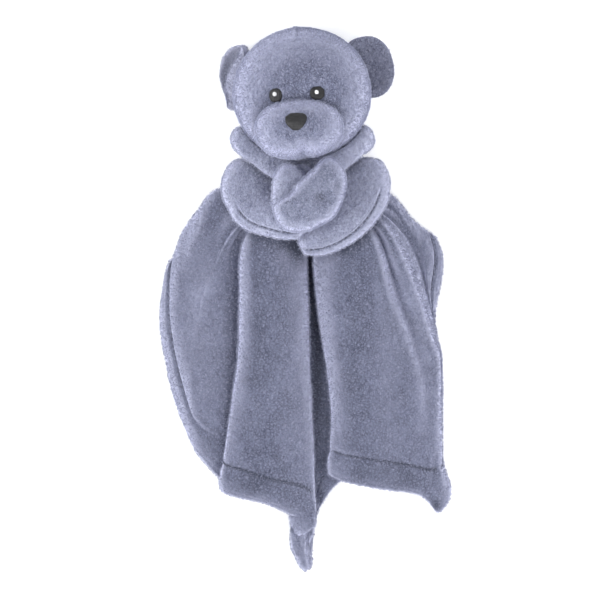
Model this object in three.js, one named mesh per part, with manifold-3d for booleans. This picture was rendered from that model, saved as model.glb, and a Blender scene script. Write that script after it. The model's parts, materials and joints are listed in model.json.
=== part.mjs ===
// Comfort blanket: the head, arms and clasped paws of a small plush bear on a gathered square of plush.
// It lies on its back. Millimetres, +Z up, +Y towards the top of the head.
// The origin is on the table below the neck.
// Left and right are the viewer's, looking down at the face.
import * as THREE from "three";
import { mergeVertices } from "three/addons/utils/BufferGeometryUtils.js";
import Module from "manifold-3d";

const { PI, cos, sin, sqrt, max, min } = Math;
const { degToRad, lerp } = THREE.MathUtils;

// Plush, thread and clearances
const ply = 2.4; // one layer of plush with its pile
const gap = 0.4; // clearance between soft pieces that touch
const flatDepth = 0.5; // how deep a soft form is pressed flat by the table
const threadRadius = 0.5;
const overrun = 6; // how far a cutting shape passes the surface that it cuts

// Blanket: a square, drawn together at its middle and laid out in folds
const clothSide = 350;
const hemWidth = 13;
const foldRise = 32; // height that the folds are given in shares of
const tipWidth = 18; // the twisted lowest corner
const tipThickness = 8;

// Neck: the gathered middle of the cloth, round its plug
const neckRadius = 11;
const neckHeight = 33; // over the table
const neckFlare = 18; // length over which the gathers open out
const plugLength = 15;
const discRadius = 13;
const discThickness = 2.6;

// Head
const headWidth = 85;
const headHeight = 81;
const headDepth = 73;
const headShift = 1.2; // the head's middle lies a little right of the neck's
const headSeat = 7.3; // bottom of the head above the neck's middle
const headRoll = 4.5; // degrees, right side up
const headTurn = -6; // degrees, towards the viewer's left
const seamBack = 5; // the side seam lies this far behind the head's middle
const openingRadius = 10; // hole at the neck through which the head is filled
const turnSteps = [-24, -12, 0, 12, 24, 36]; // degrees that the head can turn from this pose
const sweepSpare = 0.6; // makes up for the hollows between those steps

// Muzzle
const muzzleWidth = 52;
const muzzleHeight = 37.5;
const muzzleDepth = 55;
const muzzleDrop = 23.4; // its middle, below and in front of the head's
const muzzleForward = 24;

// Eyes and nose, sewn with raised thread
const eyeWidth = 8.2;
const eyeHeight = 8.4;
const eyeSpacing = 24.8;
const eyeDrop = 2.4;
const stitchRise = 1;
const glintSize = 2.6;
const glintLift = 1;
const noseWidth = 13;
const noseHeight = 10.4;
const noseDrop = 20.3;

// Ears
const earRadius = 19.5;
const earInset = 1.6; // the ear's middle lies this far inside the head's outline
const earCup = 4;
const earRim = 2; // rim of the rear layer round the front one
const earAngle = 17; // degrees above the head's middle
const rightEarLean = 12; // degrees, backwards
const leftEarLean = 38; // degrees, backwards
const earFolds = [-30, -15, 0, 12]; // degrees that an ear can fold from its pose, forwards is negative

// Rolled collar
const collarSpread = 35; // neck to the middle of the roll, at the sides
const collarRise = 19; // half the roll's height over the table, middle to middle
const collarRadius = 9.4;
const collarPlace = 20.4; // how far the sides lie above the neck
const collarDip = 19; // how far the roll dips under the chin

// Arms, across and over the table where they are fullest
const armWidth = 32;
const armDepth = 22;
const armSeamAngle = 40; // degrees over the arm's outer edge

// Paws
const frontPawSize = new THREE.Vector3(44, 30, 26);
const frontPawTilt = 58; // degrees
const frontPawHeight = 58;
const rearPawSize = new THREE.Vector3(37, 26, 22);
const rearPawTilt = 86; // degrees
const rearPawHeight = 49.5;
const wristRadius = 4;

// Counts of faces
const ballRounds = 16;
const ballRows = 8;
const collarSteps = 22;
const ringSides = 10;
const armSteps = 10;
const earSteps = 3;
const foldColumns = 29;
const foldRows = 12;
const flapRows = 6;
const flapColumns = 6;
const threadSides = 5;
const noseSegments = 4;

// Derived sizes
const headRadii = new THREE.Vector3(headWidth, headHeight, headDepth).divideScalar(2);
const headCentre = new THREE.Vector3(headShift, headSeat + headRadii.y, headRadii.z - flatDepth);
const headSweep = max(headRadii.x, headRadii.y, headRadii.z);
const nodSweep = max(headRadii.y, headRadii.z);
const muzzleRadii = new THREE.Vector3(muzzleWidth, muzzleHeight, muzzleDepth).divideScalar(2);
const muzzleCentre = new THREE.Vector3(0, -muzzleDrop, muzzleForward);
const neckOuter = neckRadius + ply;
const neckTop = new THREE.Vector3(headShift + headRadii.y * sin(degToRad(headRoll)), 0, neckHeight);
const discBall = nodSweep + gap + discThickness; // the disc follows the nodding head
const worldSpan = clothSide * 2;

// Fold lines of the upper layer, from the left edge to the right edge, each from the neck to the hem.
// Every place is [right, down, up] in shares of the cloth's side, its side and the fold rise.
const foldShares = [
  [[-0.036, 0.004, 1], [-0.169, 0.045, 0.1], [-0.228, 0.156, 0.1],
    [-0.244, 0.27, 0.1], [-0.231, 0.384, 0.1], [-0.184, 0.494, 0.14]],
  [[-0.034, 0.004, 1.12], [-0.142, 0.064, 0.34], [-0.167, 0.171, 0.42],
    [-0.198, 0.302, 0.4], [-0.197, 0.398, 0.36], [-0.168, 0.511, 0.3]],
  [[-0.031, 0.004, 1.2], [-0.118, 0.078, 0.3], [-0.112, 0.18, 0.28],
    [-0.116, 0.303, 0.24], [-0.128, 0.427, 0.2], [-0.145, 0.541, 0.16]],
  [[-0.025, 0.004, 1.28], [-0.098, 0.085, 0.66], [-0.101, 0.171, 0.68],
    [-0.104, 0.303, 0.6], [-0.118, 0.436, 0.52], [-0.138, 0.552, 0.42]],
  [[-0.014, 0.004, 1.35], [-0.055, 0.091, 0.92], [-0.048, 0.18, 0.86],
    [-0.048, 0.311, 0.7], [-0.052, 0.444, 0.58], [-0.056, 0.58, 0.44]],
  [[-0.004, 0.004, 1.38], [-0.013, 0.096, 0.98], [-0.002, 0.18, 0.8],
    [0, 0.311, 0.66], [0.005, 0.444, 0.56], [0.01, 0.606, 0.44]],
  [[0.004, 0.004, 1.38], [0.006, 0.1, 0.9], [0.017, 0.187, 0.44],
    [0.024, 0.311, 0.28], [0.034, 0.452, 0.2], [0.045, 0.558, 0.18]],
  [[0.012, 0.004, 1.38], [0.024, 0.1, 0.98], [0.035, 0.187, 0.8],
    [0.042, 0.311, 0.7], [0.055, 0.452, 0.6], [0.06, 0.537, 0.48]],
  [[0.02, 0.004, 1.35], [0.052, 0.096, 0.94], [0.079, 0.187, 0.84],
    [0.091, 0.311, 0.66], [0.106, 0.452, 0.54], [0.11, 0.552, 0.44]],
  [[0.03, 0.004, 1.28], [0.085, 0.085, 0.76], [0.14, 0.174, 0.76],
    [0.172, 0.284, 0.64], [0.196, 0.399, 0.52], [0.176, 0.562, 0.42]],
  [[0.038, 0.004, 1.15], [0.126, 0.068, 0.5], [0.196, 0.18, 0.46],
    [0.219, 0.302, 0.4], [0.231, 0.425, 0.38], [0.231, 0.571, 0.38]],
  [[0.042, 0.004, 1], [0.156, 0.038, 0.1], [0.242, 0.135, 0.1],
    [0.238, 0.29, 0.1], [0.252, 0.409, 0.1], [0.258, 0.567, 0.16]],
];

// Rear layer: left edge, middle and right edge, from behind the neck to the hidden corner
const flapShares = [
  [[-0.05, -0.004], [-0.15, 0.046], [-0.11, 0.2], [-0.05, 0.38], [0.02, 0.56]],
  [[0.004, -0.012], [0.006, 0.06], [0.016, 0.22], [0.028, 0.4], [0.034, 0.575]],
  [[0.05, -0.004], [0.15, 0.05], [0.17, 0.21], [0.11, 0.39], [0.048, 0.56]],
];

// Twisted corner: right and down in shares of the cloth's side, then shares of its width and thickness
const tipShares = [
  [0.034, 0.53, 0.5, 1],
  [0.008, 0.585, 0.8, 1],
  [-0.006, 0.64, 1, 1],
  [-0.001, 0.67, 0.8, 0.8],
  [0.009, 0.697, 0.5, 0.6],
];

// Gathers at the neck: down in shares of the flare, height of the middle in shares of the neck's height,
// half width and half height in shares of the neck's outer radius
const gatherShares = [
  [0, 1, 1, 1],
  [0.4, 0.86, 1.12, 1.25],
  [1, 0.56, 1.6, 1.4],
];

// Arms: right, up and over the table in shares of the collar's spread, then shares of the arm's width
// and depth
const leftArmShares = [
  [-0.74, 0.24, 0.6, 0.72, 0.86],
  [-0.93, -0.24, 0.6, 1, 1],
  [-0.77, -0.62, 0.72, 0.86, 0.92],
  [-0.36, -0.87, 0.96, 0.66, 0.8],
  [0.08, -0.98, 1.08, 0.52, 0.66],
];
const rightArmShares = [
  [1, 0.25, 0.6, 0.7, 0.86],
  [1.18, -0.16, 0.6, 0.9, 1],
  [1.04, -0.61, 0.7, 0.84, 0.92],
  [0.72, -0.97, 0.82, 0.7, 0.84],
  [0.34, -1.17, 0.88, 0.6, 0.76],
  [0.04, -1.2, 0.88, 0.5, 0.66],
];
const roundedEndShares = [0.5, 0.88]; // how far the first and last rings of a stuffed tube are drawn in
const armSeamShares = [0.3, 0.82]; // stretch of the arm that the topstitching shows on

// Stretches of topstitching: across the fold columns for the lower hems, down the rows for the side hems
const leftHemShares = [0.29, 0.46];
const rightHemShares = [0.65, 0.94];
const sideHemShares = [0.34, 0.84];

// Nose: right half of its outline from the foot up, each bend after its corner point, in shares of half
// its size
const noseShares = [[0, -1], [1, -0.5], [1, 0.33], [1, 1], [0.5, 1]];

// Middles of the paws: right and up in shares of the collar's spread
const frontPawShares = [0.27, -0.45];
const rearPawShares = [-0.15, -0.33];
const wristShares = [0.9, -0.46, -0.16]; // from a paw's middle out towards its arm

const wasm = await Module();
wasm.setup();
const { Manifold, Mesh } = wasm;

// A closed geometry as a solid that can be cut and joined
function solid(geometry) {
  const bare = geometry.index ? geometry.toNonIndexed() : geometry.clone();
  bare.deleteAttribute("normal");
  bare.deleteAttribute("uv");
  const merged = mergeVertices(bare);
  const corners = merged.index.array;
  const kept = [];
  for (let i = 0; i < corners.length; i += 3) {
    const [a, b, c] = corners.slice(i, i + 3);
    if (a !== b && b !== c && c !== a) kept.push(a, b, c);
  }
  const vertProperties = merged.attributes.position.array;
  return new Manifold(new Mesh({ numProp: 3, vertProperties, triVerts: new Uint32Array(kept) }));
}

function meshOf(name, body, finish) {
  const made = body.getMesh();
  const geometry = new THREE.BufferGeometry();
  const places = new Float32Array(made.vertProperties);
  geometry.setAttribute("position", new THREE.BufferAttribute(places, made.numProp));
  geometry.setIndex(new THREE.BufferAttribute(new Uint32Array(made.triVerts), 1));
  geometry.computeVertexNormals();
  const mesh = new THREE.Mesh(geometry, new THREE.MeshStandardMaterial({ ...finish, metalness: 0 }));
  mesh.name = name;
  return mesh;
}

const join = (...bodies) => bodies.reduce((all, body) => all.add(body));
const cut = (body, ...cutters) => cutters.reduce((rest, cutter) => rest.subtract(cutter), body);
const grown = (radii, by) => radii.clone().addScalar(by);
const evenly = (radius) => new THREE.Vector3(radius, radius, radius);
const still = new THREE.Matrix4();
const middleOf = new THREE.Vector3();

// An ellipsoid, then placed by a matrix
function ball(radii, centre = middleOf, place = still) {
  const geometry = new THREE.SphereGeometry(1, ballRounds, ballRows);
  geometry.scale(radii.x, radii.y, radii.z);
  geometry.translate(centre.x, centre.y, centre.z);
  return solid(geometry.applyMatrix4(place));
}

// All space above or below a height, then placed by a matrix
function halfSpace(height, side, place = still) {
  const geometry = new THREE.BoxGeometry(worldSpan, worldSpan, worldSpan);
  geometry.translate(0, 0, height + (side * worldSpan) / 2);
  return solid(geometry.applyMatrix4(place));
}

// An upright oval rod that stands on the head's middle plane
function uprightOval(width, height, x, y) {
  const geometry = new THREE.CylinderGeometry(1, 1, worldSpan, ballRounds);
  geometry.rotateX(PI / 2);
  geometry.scale(width / 2, height / 2, 1);
  geometry.translate(x, y, worldSpan / 2);
  return solid(geometry);
}

// A round rod from one point to another
function rod(from, to, radius) {
  const along = to.clone().sub(from);
  const geometry = new THREE.CylinderGeometry(radius, radius, along.length(), ballRounds);
  const up = new THREE.Vector3(0, 1, 0);
  geometry.applyQuaternion(new THREE.Quaternion().setFromUnitVectors(up, along.clone().normalize()));
  const middle = from.clone().add(to).divideScalar(2);
  geometry.translate(middle.x, middle.y, middle.z);
  return solid(geometry);
}

// Skins a row of rings. Each ring runs anticlockwise, seen from the end that the row leads to.
function skinned(rings, closed = false) {
  const sides = rings[0].length;
  const points = rings.flat();
  const faces = [];
  const steps = closed ? rings.length : rings.length - 1;
  for (let i = 0; i < steps; i++) {
    const here = i * sides;
    const next = ((i + 1) % rings.length) * sides;
    for (let j = 0; j < sides; j++) {
      const k = (j + 1) % sides;
      faces.push(here + j, here + k, next + k, here + j, next + k, next + j);
    }
  }
  if (!closed) {
    const last = steps * sides;
    for (let j = 1; j < sides - 1; j++) faces.push(j + 1, j, 0, last, last + j, last + j + 1);
  }
  const geometry = new THREE.BufferGeometry().setFromPoints(points);
  geometry.setIndex(faces);
  return solid(geometry);
}

// A closed slab between an upper and a lower grid of points, rows running down and columns to the right
function slab(upper, lower) {
  const rows = upper.length;
  const columns = upper[0].length;
  const under = rows * columns;
  const faces = [];
  const quad = (a, b, c, d) => faces.push(a, b, c, a, c, d);
  const wall = (a, b) => quad(a, b, under + b, under + a);
  for (let i = 0; i < rows - 1; i++) {
    for (let j = 0; j < columns - 1; j++) {
      const a = i * columns + j;
      const d = a + columns;
      quad(a, d, d + 1, a + 1);
      quad(under + a, under + a + 1, under + d + 1, under + d);
    }
    wall((i + 1) * columns, i * columns);
    wall((i + 1) * columns - 1, (i + 2) * columns - 1);
  }
  for (let j = 0; j < columns - 1; j++) {
    wall(j, j + 1);
    wall(under - columns + j + 1, under - columns + j);
  }
  const geometry = new THREE.BufferGeometry().setFromPoints([...upper.flat(), ...lower.flat()]);
  geometry.setIndex(faces);
  return solid(geometry);
}

// A grid of points, smooth along lines and then across them
function smoothGrid(lines, rows, columns) {
  const curves = lines.map((line) => new THREE.CatmullRomCurve3(line));
  const grid = [];
  for (let i = 0; i < rows; i++) {
    const across = new THREE.CatmullRomCurve3(curves.map((curve) => curve.getPoint(i / (rows - 1))));
    const row = [];
    for (let j = 0; j < columns; j++) row.push(across.getPoint(j / (columns - 1)));
    grid.push(row);
  }
  return grid;
}

const point = (x, y, z) => new THREE.Vector3(x, y, z);
const atHeight = (grid, height) => grid.map((row) => row.map((p) => point(p.x, p.y, height(p.z))));
const onCloth = ([right, down, up = 0]) => point(right * clothSide, -down * clothSide, up * foldRise);
const foldLines = foldShares.map((line) => line.map(onCloth));
const foldGrid = atHeight(smoothGrid(foldLines, foldRows, foldColumns), (z) => max(z, ply));

// The flared tube of gathers round the neck, larger by the given amount
function gathers(by) {
  const rings = gatherShares.map(([down, rise, wide, tall]) => {
    const ring = [];
    for (let j = 0; j < ringSides; j++) {
      const angle = (j / ringSides) * 2 * PI;
      const x = neckTop.x * (1 - down) + (wide * neckOuter + by) * cos(angle);
      const z = rise * neckHeight + (tall * neckOuter + by) * sin(angle);
      ring.push(new THREE.Vector3(x, -down * neckFlare, z));
    }
    return ring;
  });
  const first = rings[0].map((p) => new THREE.Vector3(p.x, p.y + max(by, 0), p.z));
  return skinned([first, ...rings.slice(1)]);
}

// A stuffed tube. The shares give its middle line, width and depth, and grow widens it.
function limb(shares, unit, width, depth, steps, grow = 0, openStart = 0) {
  const path = limbPath(shares, unit);
  const rings = [];
  for (let i = 0; i <= steps; i++) {
    const { centre, side, up, across, over } = limbFrame(path, shares, width, depth, i / steps);
    const fromEnd = openStart ? steps - i : min(i, steps - i);
    const round = roundedEndShares[fromEnd] ?? 1;
    if (i === 0) centre.addScaledVector(path.getTangent(0), -openStart);
    const ring = [];
    for (let j = 0; j < ringSides; j++) {
      const angle = (-j / ringSides) * 2 * PI;
      const p = centre.clone().addScaledVector(side, (across + grow) * round * cos(angle));
      ring.push(p.addScaledVector(up, (over + grow) * round * sin(angle)));
    }
    rings.push(ring);
  }
  return skinned(rings);
}

function limbPath(shares, unit) {
  return new THREE.CatmullRomCurve3(shares.map(([x, y, z]) => point(x, y, z).multiplyScalar(unit)));
}

// Place, directions and half sizes of a stuffed tube at a share of its length
function limbFrame(path, shares, width, depth, t) {
  const along = path.getTangent(t);
  const side = new THREE.Vector3(along.y, -along.x, 0).normalize();
  const up = new THREE.Vector3().crossVectors(side, along).normalize();
  const place = t * (shares.length - 1);
  const i = min(Math.floor(place), shares.length - 2);
  const at = (which) => lerp(shares[i][which], shares[i + 1][which], place - i) / 2;
  return { centre: path.getPoint(t), side, up, across: at(3) * width, over: at(4) * depth };
}

// A sewn thread through points that lie over a surface with the given normals
function thread(points, normals) {
  const rings = points.map((point, i) => {
    const along = points[min(i + 1, points.length - 1)].clone().sub(points[max(i - 1, 0)]).normalize();
    const out = normals[i].clone().addScaledVector(along, -normals[i].dot(along)).normalize();
    const side = new THREE.Vector3().crossVectors(along, out);
    const ring = [];
    for (let j = 0; j < threadSides; j++) {
      const angle = (j / threadSides) * 2 * PI;
      const p = point.clone().addScaledVector(normals[i], gap + 2 * threadRadius);
      p.addScaledVector(out, threadRadius * cos(angle));
      ring.push(p.addScaledVector(side, threadRadius * sin(angle)));
    }
    return ring;
  });
  return skinned(rings);
}

// Blanket: the folded upper layer, the rear layer, the gathers and the twisted corner, one piece of cloth
function blanket() {
  const upper = slab(foldGrid, atHeight(foldGrid, (z) => max(z - ply, 0)));
  const flapLines = flapShares.map((line) => line.map(onCloth));
  const flapGrid = smoothGrid(flapLines, flapRows, flapColumns);
  const lower = slab(atHeight(flapGrid, () => ply), atHeight(flapGrid, () => 0));
  const places = tipShares.map(([right, down, wide, thick]) =>
    [right, -down, (thick * tipThickness) / 2 / clothSide, wide, thick]);
  const tip = limb(places, clothSide, tipWidth, tipThickness, 2 * tipShares.length);
  const bell = cut(gathers(0), gathers(-ply));
  return cut(join(upper, lower, tip, bell), plugRoom(gap), halfSpace(0, -1));
}

// What lies on the blanket is cut by the room that the blanket fills down to the table
function clothRoom(clearance) {
  const grid = foldGrid.map((row, i) => row.map((p, j) => {
    const outwards = j === 0 ? -clearance : j === foldColumns - 1 ? clearance : 0;
    return new THREE.Vector3(p.x + outwards, i === 0 ? p.y + clearance : p.y, p.z);
  }));
  const upper = slab(atHeight(grid, (z) => z + clearance), atHeight(grid, () => -overrun));
  return join(upper, gathers(clearance));
}

function plugRoom(clearance) {
  const bottom = new THREE.Vector3(neckTop.x, -plugLength - clearance, neckTop.z);
  const top = new THREE.Vector3(neckTop.x, headSeat, neckTop.z);
  return rod(bottom, top, neckRadius - gap + clearance);
}

const rollMatrix = new THREE.Matrix4().makeRotationZ(degToRad(headRoll)).setPosition(headCentre);
const turnMatrix = new THREE.Matrix4().makeRotationY(degToRad(headTurn));
const headMatrix = rollMatrix.clone().multiply(turnMatrix);
const intoHead = headMatrix.clone().invert();

// Room that the turning muzzle and the moving head need, in the part's frame
function headRoom(clearance) {
  const turns = turnSteps.map((angle) => {
    const place = headMatrix.clone().multiply(new THREE.Matrix4().makeRotationY(degToRad(angle)));
    return ball(grown(muzzleRadii, clearance + sweepSpare), muzzleCentre, place);
  });
  const skull = ball(evenly(headSweep + clearance), headCentre);
  return join(skull, ball(evenly(discBall + clearance), headCentre), ...turns);
}

// Head, in its own frame
function headShell() {
  const neckHole = rod(middleOf, new THREE.Vector3(0, -worldSpan, 0), openingRadius);
  const table = halfSpace(0, -1, intoHead);
  return cut(ball(headRadii), ball(grown(headRadii, -ply)), neckHole, table);
}

const muzzleBall = (by) => ball(grown(muzzleRadii, by), muzzleCentre);
const headFrontPanel = () => cut(headShell(), halfSpace(gap / 2 - seamBack, -1), muzzleBall(gap));
const headBackPanel = () => cut(headShell(), halfSpace(-gap / 2 - seamBack, 1), muzzleBall(gap));
const muzzlePanel = () => cut(muzzleBall(0), muzzleBall(-ply), ball(grown(headRadii, -ply)));

function headFilling() {
  const inside = join(ball(grown(headRadii, -ply - gap)), muzzleBall(-ply - gap));
  return cut(inside, halfSpace(ply + gap, -1, intoHead));
}

// A patch of raised stitches over the head, between two heights over its surface
function facePatch(outline, low, high) {
  const layer = cut(ball(grown(headRadii, high)), ball(grown(headRadii, low)));
  return cut(layer.intersect(outline), muzzleBall(gap));
}

function eye(side) {
  const outline = uprightOval(eyeWidth, eyeHeight, (side * eyeSpacing) / 2, -eyeDrop);
  return facePatch(outline, gap, gap + stitchRise);
}

function eyeGlint(side) {
  const outline = uprightOval(glintSize, glintSize, (side * eyeSpacing) / 2, glintLift - eyeDrop);
  return facePatch(outline, gap + stitchRise + gap, gap + stitchRise + gap + stitchRise);
}

// Nose: wide above, narrowing to a small point
function nose() {
  const outline = new THREE.Shape();
  const at = (side, i) => [(side * noseShares[i][0] * noseWidth) / 2, (noseShares[i][1] * noseHeight) / 2];
  outline.moveTo(...at(1, 0));
  outline.quadraticCurveTo(...at(1, 1), ...at(1, 2));
  outline.quadraticCurveTo(...at(1, 3), ...at(1, 4));
  outline.lineTo(...at(-1, 4));
  outline.quadraticCurveTo(...at(-1, 3), ...at(-1, 2));
  outline.quadraticCurveTo(...at(-1, 1), ...at(-1, 0));
  const options = { depth: worldSpan, bevelEnabled: false, curveSegments: noseSegments };
  const rise = new THREE.ExtrudeGeometry(outline, options);
  rise.translate(0, -noseDrop, muzzleForward);
  return cut(muzzleBall(gap + stitchRise), muzzleBall(gap)).intersect(solid(rise));
}

// An ear's layer as a cupped disc, with its heights over the ear's middle surface
function earDisc(radius, low, high) {
  const profile = [];
  const cupped = (i, height) => {
    const r = (radius * i) / earSteps;
    return new THREE.Vector2(r, height + earCup * (r / earRadius) ** 2);
  };
  for (let i = 0; i <= earSteps; i++) profile.push(cupped(i, low));
  for (let i = earSteps; i >= 0; i--) profile.push(cupped(i, high));
  const geometry = new THREE.LatheGeometry(profile, ballRounds);
  return geometry.rotateX(PI / 2);
}

// Where an ear folds: the line along the head's outline at its base, as a turn about that line
function earFoldMatrix(place, angle) {
  const base = place.clone().multiply(new THREE.Matrix4().makeTranslation(earInset, 0, 0));
  const turn = new THREE.Matrix4().makeRotationY(degToRad(angle));
  return base.clone().multiply(turn).multiply(base.clone().invert());
}

function earPlace(side) {
  const angle = side > 0 ? degToRad(earAngle) : PI - degToRad(earAngle);
  const outline = 1 / sqrt((cos(angle) / headRadii.x) ** 2 + (sin(angle) / headRadii.y) ** 2);
  const reach = outline - earInset;
  const place = new THREE.Matrix4().makeRotationZ(angle);
  return place.setPosition(reach * cos(angle), reach * sin(angle), -seamBack);
}

function earLayer(side, lean, radius, low, high) {
  const place = earPlace(side);
  const disc = earDisc(radius, low, high).applyMatrix4(place).applyMatrix4(earFoldMatrix(place, lean));
  const rooms = earFolds.map((angle) => ball(grown(headRadii, gap), middleOf, earFoldMatrix(place, -angle)));
  return cut(solid(disc), ...rooms);
}

// Neck: the disc that closes the head turns with it and the head nods on it
function neckDisc() {
  const nod = new THREE.Vector3(headRadii.x, nodSweep, nodSweep);
  const foot = new THREE.Vector3(0, -worldSpan, 0);
  const bowl = ball(evenly(discBall));
  const snout = ball(grown(muzzleRadii, gap), muzzleCentre, turnMatrix);
  return cut(rod(middleOf, foot, discRadius).intersect(bowl), ball(grown(nod, gap)), snout);
}

function neckGather() {
  return cut(plugRoom(0), ball(evenly(discBall + gap), middleOf, rollMatrix));
}

// The thread that ties the gathers, wound below the head
function neckThread(by = 0) {
  const reach = neckOuter + gap + 2 * threadRadius;
  const geometry = new THREE.TorusGeometry(reach, threadRadius + by, threadSides, ballRounds);
  geometry.rotateX(PI / 2);
  geometry.translate(neckTop.x, -threadRadius, neckTop.z);
  return solid(geometry);
}

// Rolled collar: a soft ring that dips under the chin
function collarTube(by) {
  const rings = [];
  const centre = (angle) => new THREE.Vector3(
    headShift + collarSpread * cos(angle),
    collarPlace - collarDip * max(0, sin(angle)) ** 2,
    collarRise * (1 + sin(angle)) + collarRadius - flatDepth,
  );
  for (let i = 0; i < collarSteps; i++) {
    const step = (2 * PI) / collarSteps;
    const along = centre((i + 1) * step).sub(centre((i - 1) * step)).normalize();
    const up = new THREE.Vector3(0, 1, 0).addScaledVector(along, -along.y).normalize();
    const out = new THREE.Vector3().crossVectors(along, up);
    const ring = [];
    for (let j = 0; j < ringSides; j++) {
      const angle = (j / ringSides) * 2 * PI;
      const p = centre(i * step).addScaledVector(up, (collarRadius + by) * cos(angle));
      ring.push(p.addScaledVector(out, (collarRadius + by) * sin(angle)));
    }
    rings.push(ring);
  }
  return skinned(rings, true);
}

const collar = (by = 0) => cut(collarTube(by), headRoom(gap - by), halfSpace(-by, -1));
const neckRoll = () => cut(collar(), clothRoom(gap), neckThread(gap), plugRoom(gap));

// Arms: a plush tube, open towards the collar, and its filling
function arm(shares, by, room, open) {
  const tube = limb(shares, collarSpread, armWidth, armDepth, armSteps, by, open ? overrun : 0);
  const lying = cut(tube, clothRoom(room));
  return open ? lying : cut(lying, collar(min(room, gap)));
}

const leftArm = (by, room, open = false) => arm(leftArmShares, by, room, open);
const leftArmRoom = (room) => leftArm(room, 0);
const rightArm = (by, room, open = false) => cut(arm(rightArmShares, by, room, open), leftArmRoom(room));
const rightArmRoom = (room) => rightArm(room, 0);

// Topstitching along an arm, at an angle over its outer edge
function armSeam(shares, angle) {
  const path = limbPath(shares, collarSpread);
  const points = [];
  const normals = [];
  for (let i = 0; i <= armSteps; i++) {
    const t = lerp(armSeamShares[0], armSeamShares[1], i / armSteps);
    const { centre, side, up, across, over } = limbFrame(path, shares, armWidth, armDepth, t);
    points.push(centre.addScaledVector(side, across * cos(angle)).addScaledVector(up, over * sin(angle)));
    normals.push(side.clone().multiplyScalar(cos(angle)).addScaledVector(up, sin(angle)));
  }
  return thread(points, normals);
}

// Paws: stuffed ovals, the front one lying on the rear one
function pawBall(size, shares, height, tilt, by) {
  const place = new THREE.Matrix4().makeRotationZ(degToRad(tilt));
  place.setPosition(shares[0] * collarSpread, shares[1] * collarSpread, height);
  return ball(grown(size.clone().divideScalar(2), by), middleOf, place);
}

const pawSeat = (room) => join(
  headRoom(room), collar(room), leftArmRoom(room), rightArmRoom(room), clothRoom(room), plugRoom(room));
const frontPawBall = (by) => pawBall(frontPawSize, frontPawShares, frontPawHeight, frontPawTilt, by);
const frontPaw = (by, room) => cut(frontPawBall(by), pawSeat(room));
const rearPaw = (by, room) => cut(
  pawBall(rearPawSize, rearPawShares, rearPawHeight, rearPawTilt, by), pawSeat(room), frontPawBall(room));

// The opening at a paw's wrist, from its middle out towards its arm
function wrist(shares, height, side) {
  const middle = new THREE.Vector3(shares[0] * collarSpread, shares[1] * collarSpread, height);
  const [across, up, over] = wristShares;
  const out = new THREE.Vector3(side * across, up, over).multiplyScalar(collarSpread);
  return rod(middle, out.add(middle), wristRadius);
}

// A skin and what fills it, made by the same function at two sizes
function stuffed(name, make, opening) {
  const hollow = make(-ply, gap + ply, true);
  const skin = cut(make(0, gap), opening ? join(hollow, opening) : hollow);
  return [
    meshOf(name + "_skin", skin, plush),
    meshOf(name + "_filling", make(-ply - gap, gap + ply + gap), fibre),
  ];
}

// Hems: the topstitching follows the cloth, a hem's width in from its edge
function gridNormal(i, j) {
  const [upRow, downRow] = [foldGrid[max(i - 1, 0)], foldGrid[min(i + 1, foldRows - 1)]];
  const across = foldGrid[i][min(j + 1, foldColumns - 1)].clone().sub(foldGrid[i][max(j - 1, 0)]);
  return across.cross(upRow[j].clone().sub(downRow[j])).normalize();
}

function lowerHemThread(shares) {
  const points = [];
  const normals = [];
  const [first, last] = shares.map((share) => Math.round(share * (foldColumns - 1)));
  for (let j = first; j <= last; j++) {
    let left = hemWidth;
    let i = foldRows - 1;
    while (foldGrid[i][j].distanceTo(foldGrid[i - 1][j]) < left) {
      left -= foldGrid[i][j].distanceTo(foldGrid[i - 1][j]);
      i -= 1;
    }
    const share = left / foldGrid[i][j].distanceTo(foldGrid[i - 1][j]);
    points.push(foldGrid[i][j].clone().lerp(foldGrid[i - 1][j], share));
    normals.push(gridNormal(i, j));
  }
  return thread(points, normals);
}

function sideHemThread(column) {
  const points = [];
  const normals = [];
  const [first, last] = sideHemShares.map((share) => Math.round(share * (foldRows - 1)));
  for (let i = first; i <= last; i++) {
    points.push(foldGrid[i][column].clone());
    normals.push(gridNormal(i, column));
  }
  return thread(points, normals);
}

const plush = { color: 0x7c82a0, roughness: 0.95 };
const earLining = { color: 0x6d7390, roughness: 0.95 };
const fibre = { color: 0xe8e8e4, roughness: 1 };
const hemYarn = { color: 0x565c78, roughness: 0.7 };
const blackYarn = { color: 0x101014, roughness: 0.5 };
const whiteYarn = { color: 0xf4f4f4, roughness: 0.6 };

function earPieces(name, side, lean) {
  return [
    meshOf(name + "_back", earLayer(side, lean, earRadius, -ply - gap / 2, -gap / 2), plush),
    meshOf(name + "_front", earLayer(side, lean, earRadius - earRim, gap / 2, gap / 2 + ply), earLining),
  ];
}

const head = new THREE.Group();
head.rotation.y = degToRad(headTurn);
head.add(
  meshOf("head_back_panel", headBackPanel(), plush),
  meshOf("head_front_panel", headFrontPanel(), plush),
  meshOf("muzzle_panel", muzzlePanel(), plush),
  meshOf("head_filling", headFilling(), fibre),
  meshOf("left_eye", eye(-1), blackYarn),
  meshOf("right_eye", eye(1), blackYarn),
  meshOf("left_eye_highlight", eyeGlint(-1), whiteYarn),
  meshOf("right_eye_highlight", eyeGlint(1), whiteYarn),
  meshOf("nose", nose(), blackYarn),
  ...earPieces("left_ear", -1, leftEarLean),
  ...earPieces("right_ear", 1, rightEarLean),
);

const headOnNeck = new THREE.Group();
headOnNeck.position.copy(headCentre);
headOnNeck.rotation.z = degToRad(headRoll);
headOnNeck.add(head, meshOf("neck_disc", neckDisc(), plush));

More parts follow.
